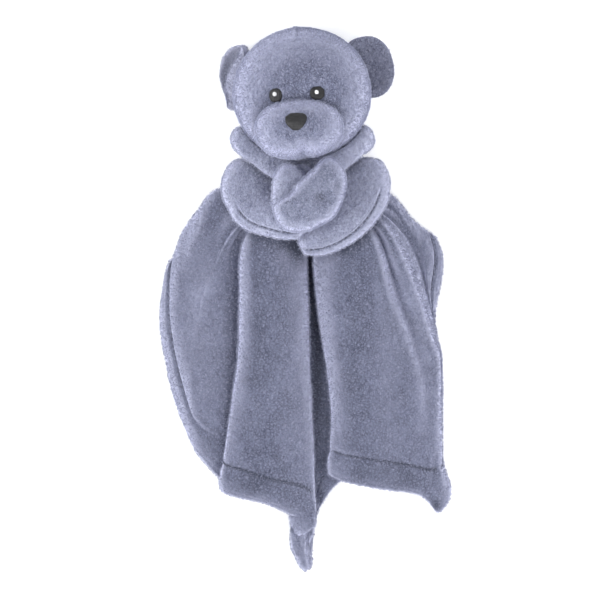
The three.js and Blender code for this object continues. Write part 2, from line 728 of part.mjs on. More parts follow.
const lovey = new THREE.Group();
lovey.add(
  headOnNeck,
  meshOf("blanket", blanket(), plush),
  meshOf("neck_gather", neckGather(), plush),
  meshOf("neck_thread", neckThread(), hemYarn),
  meshOf("neck_roll", neckRoll(), plush),
  ...stuffed("left_arm", leftArm),
  ...stuffed("right_arm", rightArm),
  ...stuffed("front_paw", frontPaw, wrist(frontPawShares, frontPawHeight, 1)),
  ...stuffed("rear_paw", rearPaw, wrist(rearPawShares, rearPawHeight, -1)),
  meshOf("left_arm_thread", armSeam(leftArmShares, degToRad(armSeamAngle)), hemYarn),
  meshOf("right_arm_thread", armSeam(rightArmShares, PI - degToRad(armSeamAngle)), hemYarn),
  meshOf("hem_thread_front_left", lowerHemThread(leftHemShares), hemYarn),
  meshOf("hem_thread_front_right", lowerHemThread(rightHemShares), hemYarn),
  meshOf("hem_thread_left", sideHemThread(1), hemYarn),
  meshOf("hem_thread_right", sideHemThread(foldColumns - 2), hemYarn),
);

export default lovey;
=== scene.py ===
"""Looks of the comfort blanket: a plush bear's head, collar, arms and paws on a gathered cloth.

Shapes are worked out in millimetres, in the part's own frame, and become metres when a mesh is made.
Folds and outlines are placed by pixels of the photograph, which looks straight down on the toy.
"""
import json
import math

import bpy
import numpy as np
from mathutils import Matrix, Vector, noise
from mathutils.bvhtree import BVHTree
from mathutils.kdtree import KDTree


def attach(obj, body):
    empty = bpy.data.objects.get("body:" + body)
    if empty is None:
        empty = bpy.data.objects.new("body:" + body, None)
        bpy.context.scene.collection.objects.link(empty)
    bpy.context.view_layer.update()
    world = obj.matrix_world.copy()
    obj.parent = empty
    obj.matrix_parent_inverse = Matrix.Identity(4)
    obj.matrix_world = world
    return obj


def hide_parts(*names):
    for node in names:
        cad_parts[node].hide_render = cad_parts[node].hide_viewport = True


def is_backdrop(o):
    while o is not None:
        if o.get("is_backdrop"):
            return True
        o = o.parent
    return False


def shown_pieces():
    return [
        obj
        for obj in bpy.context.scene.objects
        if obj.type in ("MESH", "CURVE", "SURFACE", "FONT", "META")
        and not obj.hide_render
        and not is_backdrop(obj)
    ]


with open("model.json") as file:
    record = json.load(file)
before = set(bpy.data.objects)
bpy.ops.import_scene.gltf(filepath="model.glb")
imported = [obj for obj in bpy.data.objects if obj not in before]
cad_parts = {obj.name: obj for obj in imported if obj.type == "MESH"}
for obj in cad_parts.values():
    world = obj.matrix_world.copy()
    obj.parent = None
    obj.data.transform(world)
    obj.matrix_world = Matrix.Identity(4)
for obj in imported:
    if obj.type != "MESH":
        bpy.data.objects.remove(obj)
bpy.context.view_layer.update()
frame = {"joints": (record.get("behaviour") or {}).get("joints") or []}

MM = 0.001

# The photograph's view: millimetres to a pixel on the table, the lens's height and the middle of the picture
PIXEL = 0.624
EYE_HEIGHT = 1560.0
VIEW_Y = -78.0
MIDDLE_PX = 300.0

# The cloth's ply and flat side, and its hem with the groove of the topstitch
PLY = 2.4
CLOTH_SIDE = 350.0
HALF_SIDE = CLOTH_SIDE / 2
HEM_WIDTH = 16.0
HEM_RISE = 0.7
GROOVE_DEPTH, GROOVE_WIDTH = 0.6, 1.1
HEM_SHARE = 1 - HEM_WIDTH / HALF_SIDE

# Room between neighbouring pieces, and how far a surface lies in from the tips of its pile
GAP = 0.5
PILE_INSET = 0.9


def place(points):
    """Pixels and heights as points in the part's frame."""
    p = np.asarray(points, float)
    k = PIXEL * (1 - p[..., 2] / EYE_HEIGHT)
    return np.stack([(p[..., 0] - MIDDLE_PX) * k, (MIDDLE_PX - p[..., 1]) * k + VIEW_Y, p[..., 2]], axis=-1)


def unit(v):
    return v / np.maximum(np.linalg.norm(v, axis=-1, keepdims=True), 1e-9)


def bump(x, width):
    return np.exp(-((x / width) ** 2))


def step(x, low, high):
    t = np.clip((x - low) / (high - low), 0, 1)
    return t * t * (3 - 2 * t)


def joint(name):
    return next(j for j in frame["joints"] if j["name"] == name)


# The head's own frame, from the joints that it turns and nods on
HEAD_CENTRE = np.array(joint("head_turn")["pos_m"]) / MM
_up = unit(np.array(joint("head_turn")["axis"], float))
_right = unit(-np.array(joint("head_nod")["axis"], float))
HEAD_AXES = np.stack([_right, _up, np.cross(_right, _up)], axis=1)


def head_to_world(p):
    return p @ HEAD_AXES.T + HEAD_CENTRE


def world_to_head(p):
    return (p - HEAD_CENTRE) @ HEAD_AXES


# Meshes
def quad_ball(n):
    """Unit directions and quads of a cube blown up to a ball, with n quads to an edge."""
    t = np.tan(np.linspace(-1, 1, n + 1) * math.pi / 4)
    a, b = np.meshgrid(t, t, indexing="ij")
    one = np.ones_like(a)
    sides = [(one, a, b), (-one, b, a), (b, one, a), (a, -one, b), (a, b, one), (b, a, -one)]
    points = np.concatenate([np.stack(s, axis=-1).reshape(-1, 3) for s in sides])
    i, j = np.meshgrid(np.arange(n), np.arange(n), indexing="ij")
    first = (i * (n + 1) + j).reshape(-1, 1)
    quad = first + np.array([0, n + 1, n + 2, 1])
    faces = np.concatenate([quad + k * (n + 1) ** 2 for k in range(6)])
    _, index, inverse = np.unique(np.round(unit(points), 6), axis=0, return_index=True, return_inverse=True)
    return unit(points)[index], inverse.reshape(-1)[faces]


def grid_faces(rows, columns, round_rows=False, round_columns=False):
    """Quads of a grid of points, whose normals point along (down the rows) x (along the columns)."""
    i, j = np.meshgrid(
        np.arange(rows if round_rows else rows - 1),
        np.arange(columns if round_columns else columns - 1),
        indexing="ij",
    )
    down, along = (i + 1) % rows, (j + 1) % columns
    corners = [i * columns + j, down * columns + j, down * columns + along, i * columns + along]
    return np.stack(corners, axis=-1).reshape(-1, 4)


def normals_of(points, faces):
    p = points[faces]
    n = np.cross(p[:, 2] - p[:, 0], p[:, 3] - p[:, 1])
    total = np.zeros_like(points)
    for k in range(4):
        np.add.at(total, faces[:, k], n)
    return unit(total)


# Height and size of the lumps in a stuffed surface, and what is added to the seed
LUMPS = ((0.34, 13.0, 0), (0.2, 5.5, 5), (0.15, 2.3, 9))


def noisy(points, size, seed=0.0):
    offset = Vector((seed, 1.7 * seed, -0.6 * seed))
    return np.array([noise.noise(Vector(p) / size + offset) for p in points])


def fluffed(points, faces, amount, seed, inset=PILE_INSET):
    """Pushes a surface in and out a little, as soft filling does, and in by what its pile stands up."""
    n = normals_of(points, faces)
    rise = sum(height * noisy(points, size, seed + k) for height, size, k in LUMPS)
    return points + n * (amount * rise - inset)[:, None]


def relaxed(points, faces, rounds, share=0.5, fixed=None):
    """Evens out a surface by moving each point towards the middle of its neighbours."""
    edges = np.concatenate([faces[:, [k, (k + 1) % 4]] for k in range(4)])
    edges = np.unique(np.sort(edges, axis=1), axis=0)
    count = np.zeros(len(points))
    np.add.at(count, edges[:, 0], 1)
    np.add.at(count, edges[:, 1], 1)
    for _ in range(rounds):
        total = np.zeros_like(points)
        np.add.at(total, edges[:, 0], points[edges[:, 1]])
        np.add.at(total, edges[:, 1], points[edges[:, 0]])
        moved = points + share * (total / count[:, None] - points)
        if fixed is not None:
            moved[fixed] = points[fixed]
        points = moved
    return points


def make(name, points, faces, material, body, replaces=()):
    """A smooth mesh piece that rides on a body and stands for the given nodes."""
    mesh = bpy.data.meshes.new(name)
    faces = [list(dict.fromkeys(f)) for f in np.asarray(faces).tolist()]
    mesh.from_pydata((np.asarray(points) * MM).tolist(), [], faces)
    mesh.update()
    mesh.polygons.foreach_set("use_smooth", [True] * len(mesh.polygons))
    mesh.materials.append(material)
    piece = bpy.data.objects.new(name, mesh)
    bpy.context.scene.collection.objects.link(piece)
    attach(piece, body)
    if replaces:
        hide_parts(*replaces)
    return piece


def tree_of(points, faces):
    return BVHTree.FromPolygons(np.asarray(points).tolist(), np.asarray(faces).tolist())


def kd_tree(points):
    tree = KDTree(len(points))
    for number, point in enumerate(points):
        tree.insert(point, number)
    tree.balance()
    return tree


def shade_near(points, trees, strength, reach, clear=0.0):
    """How dark each point is in the shade of the surfaces close to it."""
    nearest = np.array([min(tree.find_nearest(Vector(p))[3] for tree in trees) for p in points])
    return strength * bump(nearest + clear, reach)


HIGH_UP = 200.0


def under(points, tree, clearance, lowest=2.5, most=30.0):
    """Points that lie in or over a stuffed piece are pressed down under it."""
    moved = points.copy()
    for k, p in enumerate(points):
        low = tree.ray_cast(Vector((p[0], p[1], -HIGH_UP)), Vector((0, 0, 1)))[0]
        if low is not None and p[2] > low.z - clearance:
            moved[k, 2] = max(low.z - clearance, lowest, p[2] - most)
    return moved


# Interpolation
def smooth_through(knots, values, query):
    """Smooth curve through values at uneven knots, along the first axis."""
    knots = np.asarray(knots, float)
    values = np.asarray(values, float)
    shape = (-1,) + (1,) * (values.ndim - 1)
    gaps = np.diff(knots)
    slopes = np.diff(values, axis=0) / gaps.reshape(shape)
    tangents = np.empty_like(values)
    before, after = gaps[:-1].reshape(shape), gaps[1:].reshape(shape)
    tangents[1:-1] = (slopes[:-1] * after + slopes[1:] * before) / (before + after)
    tangents[0], tangents[-1] = slopes[0], slopes[-1]
    k = np.clip(np.searchsorted(knots, query, side="right") - 1, 0, len(knots) - 2)
    h = gaps[k].reshape(shape)
    t = ((query - knots[k]) / gaps[k]).reshape(shape)
    a = (2 * t**3 - 3 * t**2 + 1) * values[k] + (t**3 - 2 * t**2 + t) * h * tangents[k]
    b = (-2 * t**3 + 3 * t**2) * values[k + 1] + (t**3 - t**2) * h * tangents[k + 1]
    return a + b


# Materials
def new_material(name):
    material = bpy.data.materials.new(name)
    material.use_nodes = True
    nodes = material.node_tree.nodes
    return material, nodes, material.node_tree.links, nodes["Principled BSDF"]


def noise_node(nodes, links, coordinates, scale, detail=2.0, roughness=0.5, distortion=0.0):
    node = nodes.new("ShaderNodeTexNoise")
    node.inputs["Scale"].default_value = scale
    node.inputs["Detail"].default_value = detail
    node.inputs["Roughness"].default_value = roughness
    node.inputs["Distortion"].default_value = distortion
    links.new(coordinates, node.inputs["Vector"])
    return node.outputs["Fac"]


def ramp_node(nodes, links, value, low, high, low_colour, high_colour):
    node = nodes.new("ShaderNodeValToRGB")
    first, last = node.color_ramp.elements
    first.position, last.position = low, high
    first.color, last.color = (*low_colour, 1), (*high_colour, 1)
    links.new(value, node.inputs["Fac"])
    return node.outputs["Color"]


def mix_node(nodes, links, a, b, factor, blend="MIX"):
    node = nodes.new("ShaderNodeMix")
    node.data_type = "RGBA"
    node.blend_type = blend
    node.clamp_factor = True
    for value, socket in ((factor, "Factor"), (a, "A"), (b, "B")):
        target = next(s for s in node.inputs if s.name == socket and s.enabled)
        if isinstance(value, bpy.types.NodeSocket):
            links.new(value, target)
        elif isinstance(value, float):
            target.default_value = value
        else:
            target.default_value = (*value, 1)
    return next(s for s in node.outputs if s.enabled)


def stretched(nodes, links, coordinates, factors):
    node = nodes.new("ShaderNodeMapping")
    node.inputs["Scale"].default_value = factors
    links.new(coordinates, node.inputs["Vector"])
    return node.outputs["Vector"]


def math_node(nodes, links, operation, first, second, clamp=False):
    node = nodes.new("ShaderNodeMath")
    node.operation = operation
    node.use_clamp = clamp
    links.new(first, node.inputs[0])
    links.new(second, node.inputs[1])
    return node.outputs["Value"]


def relief(nodes, links, height, strength, millimetres, over=None):
    """A bump of so many millimetres, over another one's normal where it is given."""
    node = nodes.new("ShaderNodeBump")
    node.inputs["Strength"].default_value = strength
    node.inputs["Distance"].default_value = millimetres * MM
    links.new(height, node.inputs["Height"])
    if over is not None:
        links.new(over, node.inputs["Normal"])
    return node.outputs["Normal"]


def attribute_node(nodes, name):
    node = nodes.new("ShaderNodeAttribute")
    node.attribute_name = name
    return node.outputs["Fac"]


SHEEN_TINT = (0.8, 0.82, 1.0, 1)


def set_surface(shader, roughness, specular, sheen=0.0, sheen_roughness=0.5):
    shader.inputs["Roughness"].default_value = roughness
    shader.inputs["Specular IOR Level"].default_value = specular
    shader.inputs["Sheen Weight"].default_value = sheen
    shader.inputs["Sheen Roughness"].default_value = sheen_roughness
    shader.inputs["Sheen Tint"].default_value = SHEEN_TINT


# Noise scales of the pile's tufts, fibres and cloudy patches, and how the pile's lie draws them out
TUFTS, FIBRES, PATCHES = 430.0, 1500.0, 60.0
LIE = (1.0, 0.6, 1.0)
# How much of the dark tone is left along a seam and in the painted deep shade
SEAM_AND_SHADE_TONE = 0.45
BLACK, WHITE = (0.0, 0.0, 0.0), (1.0, 1.0, 1.0)


def plush_material(name, dark, light, slope, pale_from=0.04, pale_to=0.52):
    """Short velour pile: dark between the tips seen from above, pale along its slopes, in tufts."""
    material, nodes, links, shader = new_material(name)
    coordinates = nodes.new("ShaderNodeTexCoord").outputs["Object"]
    brushed = stretched(nodes, links, coordinates, LIE)
    tufts = noise_node(nodes, links, brushed, TUFTS, 3.0, 0.65, 0.8)
    fibres = noise_node(nodes, links, brushed, FIBRES, 2.0, 0.6)
    patches = noise_node(nodes, links, coordinates, PATCHES, 3.0, 0.55, 0.5)
    nap = nodes.new("ShaderNodeLayerWeight")
    nap.inputs["Blend"].default_value = 0.5
    links.new(relief(nodes, links, tufts, 0.3, 0.6), nap.inputs["Normal"])
    sheen = ramp_node(nodes, links, nap.outputs["Facing"], pale_from, pale_to, BLACK, WHITE)
    tone = ramp_node(nodes, links, patches, 0.34, 0.66, dark, light)
    tuft_shade = ramp_node(nodes, links, tufts, 0.3, 0.66, (0.6, 0.6, 0.64), (1.25, 1.25, 1.22))
    fleck = ramp_node(nodes, links, fibres, 0.34, 0.52, (0.6, 0.6, 0.63), (1.06, 1.06, 1.05))
    colour = mix_node(nodes, links, tone, tuft_shade, 1.0, "MULTIPLY")
    colour = mix_node(nodes, links, colour, fleck, 1.0, "MULTIPLY")
    # Painted light: paler patches where more light falls, mixed towards the slopes' tone.
    colour = mix_node(nodes, links, colour, slope, attribute_node(nodes, "brushed"))
    colour = mix_node(nodes, links, colour, slope, sheen)
    # Painted shade: darker along seams, near pieces that cover or touch this one and in the shaded spots,
    # from the seam attribute.
    seam_and_shade_colour = tuple(SEAM_AND_SHADE_TONE * c for c in dark)
    colour = mix_node(nodes, links, colour, seam_and_shade_colour, attribute_node(nodes, "seam"))
    links.new(colour, shader.inputs["Base Color"])
    set_surface(shader, 0.9, 0.15, 0.6, 0.4)
    tufted = relief(nodes, links, tufts, 0.8, 0.8)
    links.new(relief(nodes, links, fibres, 0.5, 0.3, tufted), shader.inputs["Normal"])
    return material


STRANDS = (260.0, 2600.0, 600.0)


def thread_material(name, dark, light, roughness):
    """Satin-stitched or sewing thread: fine parallel strands with a little gloss."""
    material, nodes, links, shader = new_material(name)
    coordinates = nodes.new("ShaderNodeTexCoord").outputs["Object"]
    strands = noise_node(nodes, links, stretched(nodes, links, coordinates, STRANDS), 1.0, 2.0, 0.6)
    links.new(ramp_node(nodes, links, strands, 0.35, 0.68, dark, light), shader.inputs["Base Color"])
    set_surface(shader, roughness, 0.4)
    links.new(relief(nodes, links, strands, 0.6, 0.2), shader.inputs["Normal"])
    return material


def hair_material(name, root, tip):
    """One hair of the pile: darker at its root and paler at its tip, as painted shade and light in the pile,
    and each one a little different.
    """
    material, nodes, links, shader = new_material(name)
    info = nodes.new("ShaderNodeHairInfo")
    # Painted shade and light: the root's tone is darkened and the tip's lightened.
    along = ramp_node(nodes, links, info.outputs["Intercept"], 0.1, 1.0, root, tip)
    each = ramp_node(nodes, links, info.outputs["Random"], 0.0, 1.0, (0.85, 0.85, 0.86), (1.12, 1.12, 1.11))
    links.new(mix_node(nodes, links, along, each, 1.0, "MULTIPLY"), shader.inputs["Base Color"])
    set_surface(shader, 0.8, 0.2, 0.4, 0.5)
    return material


# Each plush's dark and light tones and the tone of its slopes, then the roots and tips of its hairs, darker
# and paler as painted shade and light. The toy is one plush all over: these copies differ in tone as painted
# light and shade for how brightly each part is lit, the limbs' lightest and the cloth's darkest.
SLOPE = (0.6, 0.615, 0.79)
PLUSHES = {
    "head_plush": (
        (0.135, 0.146, 0.211), (0.19, 0.204, 0.286), SLOPE,
        (0.24, 0.25, 0.34), (0.54, 0.56, 0.72),
    ),
    "paw_plush": (
        (0.175, 0.19, 0.26), (0.25, 0.266, 0.355), (0.62, 0.635, 0.805),
        (0.25, 0.26, 0.35), (0.56, 0.58, 0.74),
    ),
    "cloth_plush": (
        (0.104, 0.114, 0.166), (0.157, 0.17, 0.242), SLOPE,
        (0.18, 0.19, 0.265), (0.44, 0.455, 0.6),
    ),
    "limb_plush": (
        (0.24, 0.255, 0.345), (0.32, 0.336, 0.44), (0.64, 0.655, 0.82),
        (0.27, 0.28, 0.37), (0.6, 0.62, 0.77),
    ),
    "ear_plush": (
        (0.17, 0.18, 0.25), (0.24, 0.25, 0.335), (0.52, 0.53, 0.68),
        (0.19, 0.2, 0.27), (0.46, 0.47, 0.6),
    ),
}
PALE_RANGES = {"head_plush": (0.08, 0.6)}
plushes = {name: plush_material(name, *row[:3], *PALE_RANGES.get(name, ())) for name, row in PLUSHES.items()}
pile_hairs = {name: hair_material(name + "_hair", *row[3:]) for name, row in PLUSHES.items()}
head_plush, paw_plush, cloth_plush, limb_plush, ear_plush = plushes.values()
black_thread = thread_material("black_thread", (0.004, 0.004, 0.005), (0.02, 0.02, 0.023), 0.45)
white_thread = thread_material("white_thread", (0.72, 0.72, 0.72), (0.9, 0.9, 0.9), 0.5)
hem_thread = thread_material("hem_thread", (0.05, 0.055, 0.085), (0.1, 0.11, 0.16), 0.6)


# Blanket. Each fold line runs from the neck to the hem: pixels across and down, and height over the table.
# They go round the neck from the left shoulder over the front to the right shoulder and back behind.
FOLD_PLACES = [0.06, 0.16, 0.32, 0.5, 0.68, 0.86, 1.0]
HEM_PLACE = 0.91
FOLDS_PX = {
    "left_shoulder": [(250, 191, 18), (219, 190, 10), (199, 211, 5), (185, 230, 3.6), (177.5, 250, 3.2),
        (169.5, 269, 2.8)],
    "left_1": [(252, 201, 22), (218, 206, 14), (198, 235, 12), (185, 264, 10.5), (174, 293, 9.5),
        (160.5, 318, 2)],
    "left_2": [(254, 206, 23), (226, 226, 15.5), (205, 266, 13.5), (190, 302, 12), (178, 338, 10.5),
        (166.5, 361, 2)],
    "left_3": [(255, 208, 24), (228, 238, 16.5), (208, 282, 14.8), (195, 326, 13.6), (186, 374, 11.5),
        (177, 405, 2)],
    "left_corner": [(256, 210, 25), (230, 242, 16.5), (210, 292, 15.4), (200, 345, 14.2), (196, 405, 11.6),
        (197, 453, 3)],
    "left_4": [(257, 211, 25), (233, 244, 15.5), (217, 299, 14.2), (210, 354, 13), (208, 414, 10.8),
        (208, 467, 4.4)],
    "left_5": [(259, 212, 25), (236, 246, 13.5), (227, 302, 12.4), (222, 358, 11.2), (220, 420, 9.8),
        (221, 481, 5.6)],
    "tuck_lower": [(262, 212, 24), (245, 248, 12), (243, 303, 8.4), (240, 360, 7.2), (238, 422, 6.4),
        (240, 484, 4.8)],
    "tuck_inner": [(268, 212, 24), (258, 249, 13.5), (270, 304, 9.2), (271, 362, 8), (270, 424, 7.2),
        (269, 488, 6.6)],
    "tuck_upper": [(265, 211, 27), (247, 248, 17.5), (247, 303, 13.5), (246, 361, 11.5), (243, 422, 9.4),
        (243, 484, 7.6)],
    "panel_left": [(266, 210, 31), (243, 243, 24), (240.5, 300, 20), (238.5, 358, 17.6), (229, 422, 14.2),
        (223, 463, 12.2), (220, 490, 8)],
    "panel_1": [(274, 209, 37), (254, 240, 30), (252, 300, 27), (250, 360, 24), (246, 425, 19.5),
        (244, 471, 16), (239, 498, 12)],
    "panel_2": [(284, 208, 41), (270, 241, 29), (270, 302, 28), (270, 362, 24.5), (269, 427, 20.5),
        (269, 480, 17), (266, 503.5, 13)],
    "panel_3": [(294, 208, 42), (288, 242, 22), (288, 303, 26.5), (289, 364, 23), (290, 430, 19),
        (292, 484.5, 16), (290, 514.5, 12.5)],
    "panel_4": [(299, 208, 41), (299, 243, 19), (302, 304, 21.5), (303, 366, 18.5), (305, 432, 15.5),
        (306, 489, 13.5), (306, 520, 11.5)],
    "panel_right": [(303, 208, 38), (304.5, 244, 14.5), (308, 304, 14.5), (309.5, 367, 12.5), (313, 432, 11),
        (315, 494, 11), (317, 523, 11)],
    "under_upper": [(304, 208, 35), (302, 245, 10), (298, 305, 10), (298, 368, 9), (299, 436, 8.4),
        (303, 505, 12), (307, 533, 13)],
    "under_inner": [(305, 208, 33), (297, 246, 6), (280, 305, 6.4), (279, 368, 6.2), (279, 436, 6),
        (289, 512, 9), (292, 541, 5)],
    "tip_left": [(306, 208, 32), (301, 246, 4.6), (291, 306, 4.6), (291, 370, 4.4), (292, 440, 4.6),
        (298, 538, 9), (302, 563, 6)],
    "front_corner": [(306.5, 208, 32), (303, 246, 4.4), (296, 306, 4.2), (298, 370, 4), (301, 442, 4.2),
        (304, 545, 11), (308, 569, 5)],
    "tip_right": [(307, 208, 32), (306, 247, 4.4), (303, 306, 4.2), (305, 371, 4), (309, 442, 4),
        (304, 541, 7), (312, 563, 4)],
    "recess_1": [(307, 208, 31), (309, 247, 4.6), (310, 308, 4), (313, 372, 4), (318, 440, 4),
        (315, 500, 3.6), (310, 534, 3.6)],
    "recess_2": [(308, 208, 31), (316, 247, 5), (319, 308, 4.2), (323, 372, 4), (328, 436, 4),
        (327, 470, 3.8), (324, 500, 3.6)],
    "recess_3": [(309, 208, 31), (320, 248, 5), (326, 308, 4.2), (332, 372, 4), (340, 436, 4), (343, 466, 4),
        (338, 482, 3.6)],
    "right_lower": [(310, 208, 31), (327, 248, 5.4), (338, 309, 4.6), (345, 374, 4.4), (354, 437, 4.2),
        (357, 479, 4)],
    "right_inner": [(312, 208, 32), (340, 247, 9), (370, 309, 8.6), (382, 374, 8), (391, 437, 7.4),
        (392, 484, 6.4)],
    "right_upper": [(311, 208, 35), (322, 246, 12), (334, 308, 11.5), (343, 373, 10), (350, 436, 9),
        (350, 480, 8)],
    "right_left": [(312, 208, 38), (313, 245, 16), (317, 306, 15), (327, 371, 13.5), (331, 425, 12),
        (330, 450, 11.5), (328, 474, 9)],
    "right_1": [(316, 208, 41), (323, 243, 20), (329, 304, 24), (338, 369, 20.5), (343, 428, 17),
        (343, 455, 15), (340, 480.5, 12)],
    "right_2": [(324, 208, 42), (341, 241, 28), (350, 302, 26.5), (358, 368, 22.5), (365, 430, 18.5),
        (364, 459, 16.5), (362, 486, 13.5)],
    "right_3": [(333, 207, 40), (357, 238, 28.5), (371, 298, 23.5), (382, 364, 20), (390, 430, 17),
        (389, 463, 15.5), (386, 490, 13)],
    "ridge_1": [(340, 206, 37), (371, 236, 28.5), (388, 295, 25), (406, 348, 21.5), (417, 420, 17),
        (413, 467, 15), (411, 493, 12.5)],
    "valley_1": [(343, 205, 33), (375, 231, 21), (396, 289, 17), (414, 344, 16), (427, 418, 14.5),
        (427, 471, 14), (422, 496, 12)],
    "ridge_2": [(346, 204, 30), (380, 225, 26), (404, 266, 23), (428, 335, 16.5), (438, 405, 13),
        (433, 471, 12.8), (431.5, 506, 11)],
    "right_corner": [(348, 203, 27), (382, 220, 18), (408, 258, 12), (432, 334, 9), (440, 403, 8),
        (439, 471, 12), (441, 513, 10.5)],
    "right_curl": [(348.5, 202, 26), (383, 217, 16), (411, 254, 10), (433, 330, 6), (441, 399, 5),
        (441.5, 468, 10.5), (452, 495, 9)],
    "right_side": [(349, 202, 25.5), (383, 216, 15), (411.5, 252, 9), (433, 325, 5), (440, 393, 3.6),
        (438, 440, 3.2), (441, 467, 3)],
    "side_1": [(349, 202, 25), (383, 215, 14), (412, 250, 8.5), (433, 320, 4), (439, 386, 3),
        (436, 436, 2.6)],
    "side_2": [(350, 201, 24), (385, 210, 12.5), (412, 240, 8.5), (428, 288, 6), (433, 333, 4),
        (437, 370, 2.6)],
    "side_3": [(350, 200, 22), (386, 205, 11), (410, 231, 9), (423, 256, 8.5), (428, 286, 7.5),
        (434, 316, 2.4)],
    "side_4": [(350, 198, 20), (386, 200, 10), (406, 220, 7.6), (419, 237, 7.5), (430, 251, 7),
        (443, 266, 2.6)],
    "right_shoulder": [(349, 195, 18), (385, 193, 8), (401, 206, 5), (410.5, 219, 4), (424, 229.5, 3.4),
        (436, 238, 2.8)],
    "rear_right_1": [(347, 199, 15), (372, 210, 5), (391, 232, 4.4), (400, 256, 4), (408, 280, 3.4),
        (416, 300, 2)],
    "rear_right_in": [(342, 204, 13), (352, 226, 6.4), (362, 258, 5), (372, 288, 4.8), (378, 318, 4.6),
        (384, 344, 4)],
    "rear_right_out": [(342, 204, 12), (366, 224, 2.6), (388, 254, 1.8), (402, 286, 1.6), (411, 318, 1.4),
        (416, 344, 1.3)],
    "rear_right_2": [(335, 206, 11), (350, 234, 1.8), (362, 270, 1.3), (370, 304, 1.3), (374, 338, 1.3),
        (384, 366, 1.3)],
    "rear_right_3": [(330, 208, 10), (332, 238, 1.6), (340, 288, 1.3), (345, 338, 1.3), (350, 388, 1.3),
        (355, 430, 1.3)],
    "rear_corner": [(307, 209, 9), (309, 240, 1.6), (311, 302, 1.3), (314, 365, 1.3), (318, 432, 1.3),
        (322, 492, 1.3)],
    "rear_left_1": [(284, 208, 10), (282, 238, 1.6), (276, 288, 1.3), (278, 338, 1.3), (281, 388, 1.3),
        (284, 436, 1.3)],
    "rear_left_2": [(268, 206, 12), (255, 232, 1.8), (240, 268, 1.3), (233, 304, 1.3), (230, 340, 1.3),
        (232, 372, 1.3)],
    "rear_left_out": [(260, 204, 12), (238, 224, 2.6), (214, 254, 1.8), (204, 290, 1.6), (199, 326, 1.4),
        (200, 352, 1.3)],
    "rear_left_in": [(261, 204, 13), (248, 226, 6.4), (236, 262, 5), (232, 298, 4.8), (230, 332, 4.6),
        (230, 356, 4)],
    "rear_left_3": [(257, 200, 15), (230, 214, 5), (211, 240, 4.2), (201, 264, 3.6), (195, 288, 3),
        (191, 312, 1.8)],
}
CORNERS = ("left_corner", "front_corner", "right_corner", "rear_corner")
# The cloth's grid: its rows down to the hem, over the hem's seam and in the hem, and millimetres to a column
BODY_ROWS, SEAM_ROWS, HEM_ROWS = 66, (-0.007, -0.0035, 0, 0.0035, 0.007), 8
COLUMN_WIDTH = 2.3
FIRST_SPREAD_ROW = 20
WRAP = 3
NECK_MIDDLE = (4.4, 33.0)
NECK_OUTER = 13.4


def angle_round_neck(names):
    """Angles at which the fold lines leave the neck: a quarter turn to each corner, evenly between them."""
    places = [names.index(c) for c in CORNERS] + [names.index(CORNERS[0]) + len(names)]
    number = np.arange(len(names))
    turns = np.interp(number + (number < places[0]) * len(names), places, range(5))
    return math.pi - turns * math.pi / 2


def with_hem(line):
    """A fold line with a point of its own at the hem's seam."""
    if len(line) == len(FOLD_PLACES):
        return line
    middle = smooth_through(FOLD_PLACES[1:], line, np.array([HEM_PLACE]))
    return np.concatenate([line[:-1], middle, line[-1:]])


def cloth_grid():
    """The cloth's middle surface, row by row round the neck, the rows' shares and the folds' columns."""
    names = list(FOLDS_PX)
    lines = np.array([place(with_hem(line)) for line in FOLDS_PX.values()])
    angles = angle_round_neck(names)
    ring = np.stack([np.cos(angles), np.zeros(len(names)), np.sin(angles)], axis=1)
    ring = ring * NECK_OUTER + (NECK_MIDDLE[0], 0, NECK_MIDDLE[1])
    lines = np.concatenate([ring[:, None], lines], axis=1)
    shares = np.concatenate([
        np.linspace(FOLD_PLACES[0], HEM_SHARE - 0.012, BODY_ROWS),
        HEM_SHARE + np.array(SEAM_ROWS),
        np.linspace(HEM_SHARE + 0.012, 1, HEM_ROWS),
    ])
    places = [*FOLD_PLACES[:-1], HEM_PLACE, FOLD_PLACES[-1]]
    down = smooth_through(places, lines.swapaxes(0, 1), shares)
    around = np.concatenate([down[:, -WRAP:], down, down[:, :WRAP + 1]], axis=1)
    spread = np.linalg.norm(np.diff(around, axis=1), axis=2)
    knots = np.concatenate([[0], np.cumsum(spread[FIRST_SPREAD_ROW:].mean(axis=0))])
    columns, fold_columns = [], {}
    for name, a, b in zip(names, knots[WRAP:], knots[WRAP + 1:]):
        fold_columns[name] = sum(len(c) for c in columns)
        columns.append(np.linspace(a, b, max(3, round((b - a) / COLUMN_WIDTH)), endpoint=False))
    grid = smooth_through(knots, around.swapaxes(0, 1), np.concatenate(columns)).swapaxes(0, 1)
    return grid, shares, fold_columns


# Stuffed pieces
def loft(centres, outward, upward, half_widths, half_depths, sides):
    """A tube through the centres, closed to a point at both ends; side 0 is at its outward edge."""
    turn = np.linspace(0, 2 * math.pi, sides, endpoint=False)
    rings = (
        centres[:, None]
        + outward[:, None] * (half_widths[:, None] * np.cos(turn))[..., None]
        + upward[:, None] * (half_depths[:, None] * np.sin(turn))[..., None]
    )
    count = len(centres)
    start, end = count * sides, count * sides + 1
    side = np.arange(sides)
    after = (side + 1) % sides
    last = (count - 1) * sides
    fans = [
        np.stack([np.full(sides, start), after, side, side], axis=1),
        np.stack([np.full(sides, end), last + side, last + after, last + after], axis=1),
    ]
    faces = np.concatenate([grid_faces(count, sides, round_columns=True), *fans])
    points = np.concatenate([rings.reshape(-1, 3), centres[:1], centres[-1:]])
    return points, faces, turn


def outwards(points, faces):
    """Faces turned so that a closed surface faces out."""
    a, b, c, d = (points[faces[:, k]] for k in range(4))
    volume = np.einsum("ij,ij->i", a, np.cross(b, c)).sum() + np.einsum("ij,ij->i", a, np.cross(c, d)).sum()
    return faces if volume > 0 else faces[:, ::-1]


# Head and muzzle, in the head's own frame
HEAD_RADII = np.array([42.5, 40.5, 36.5])
MUZZLE_CENTRE = np.array([-0.9, -22.8, 24.0])
MUZZLE_RADII = np.array([26.8, 18.4, 27.5])
FACE_HIGH = 100.0
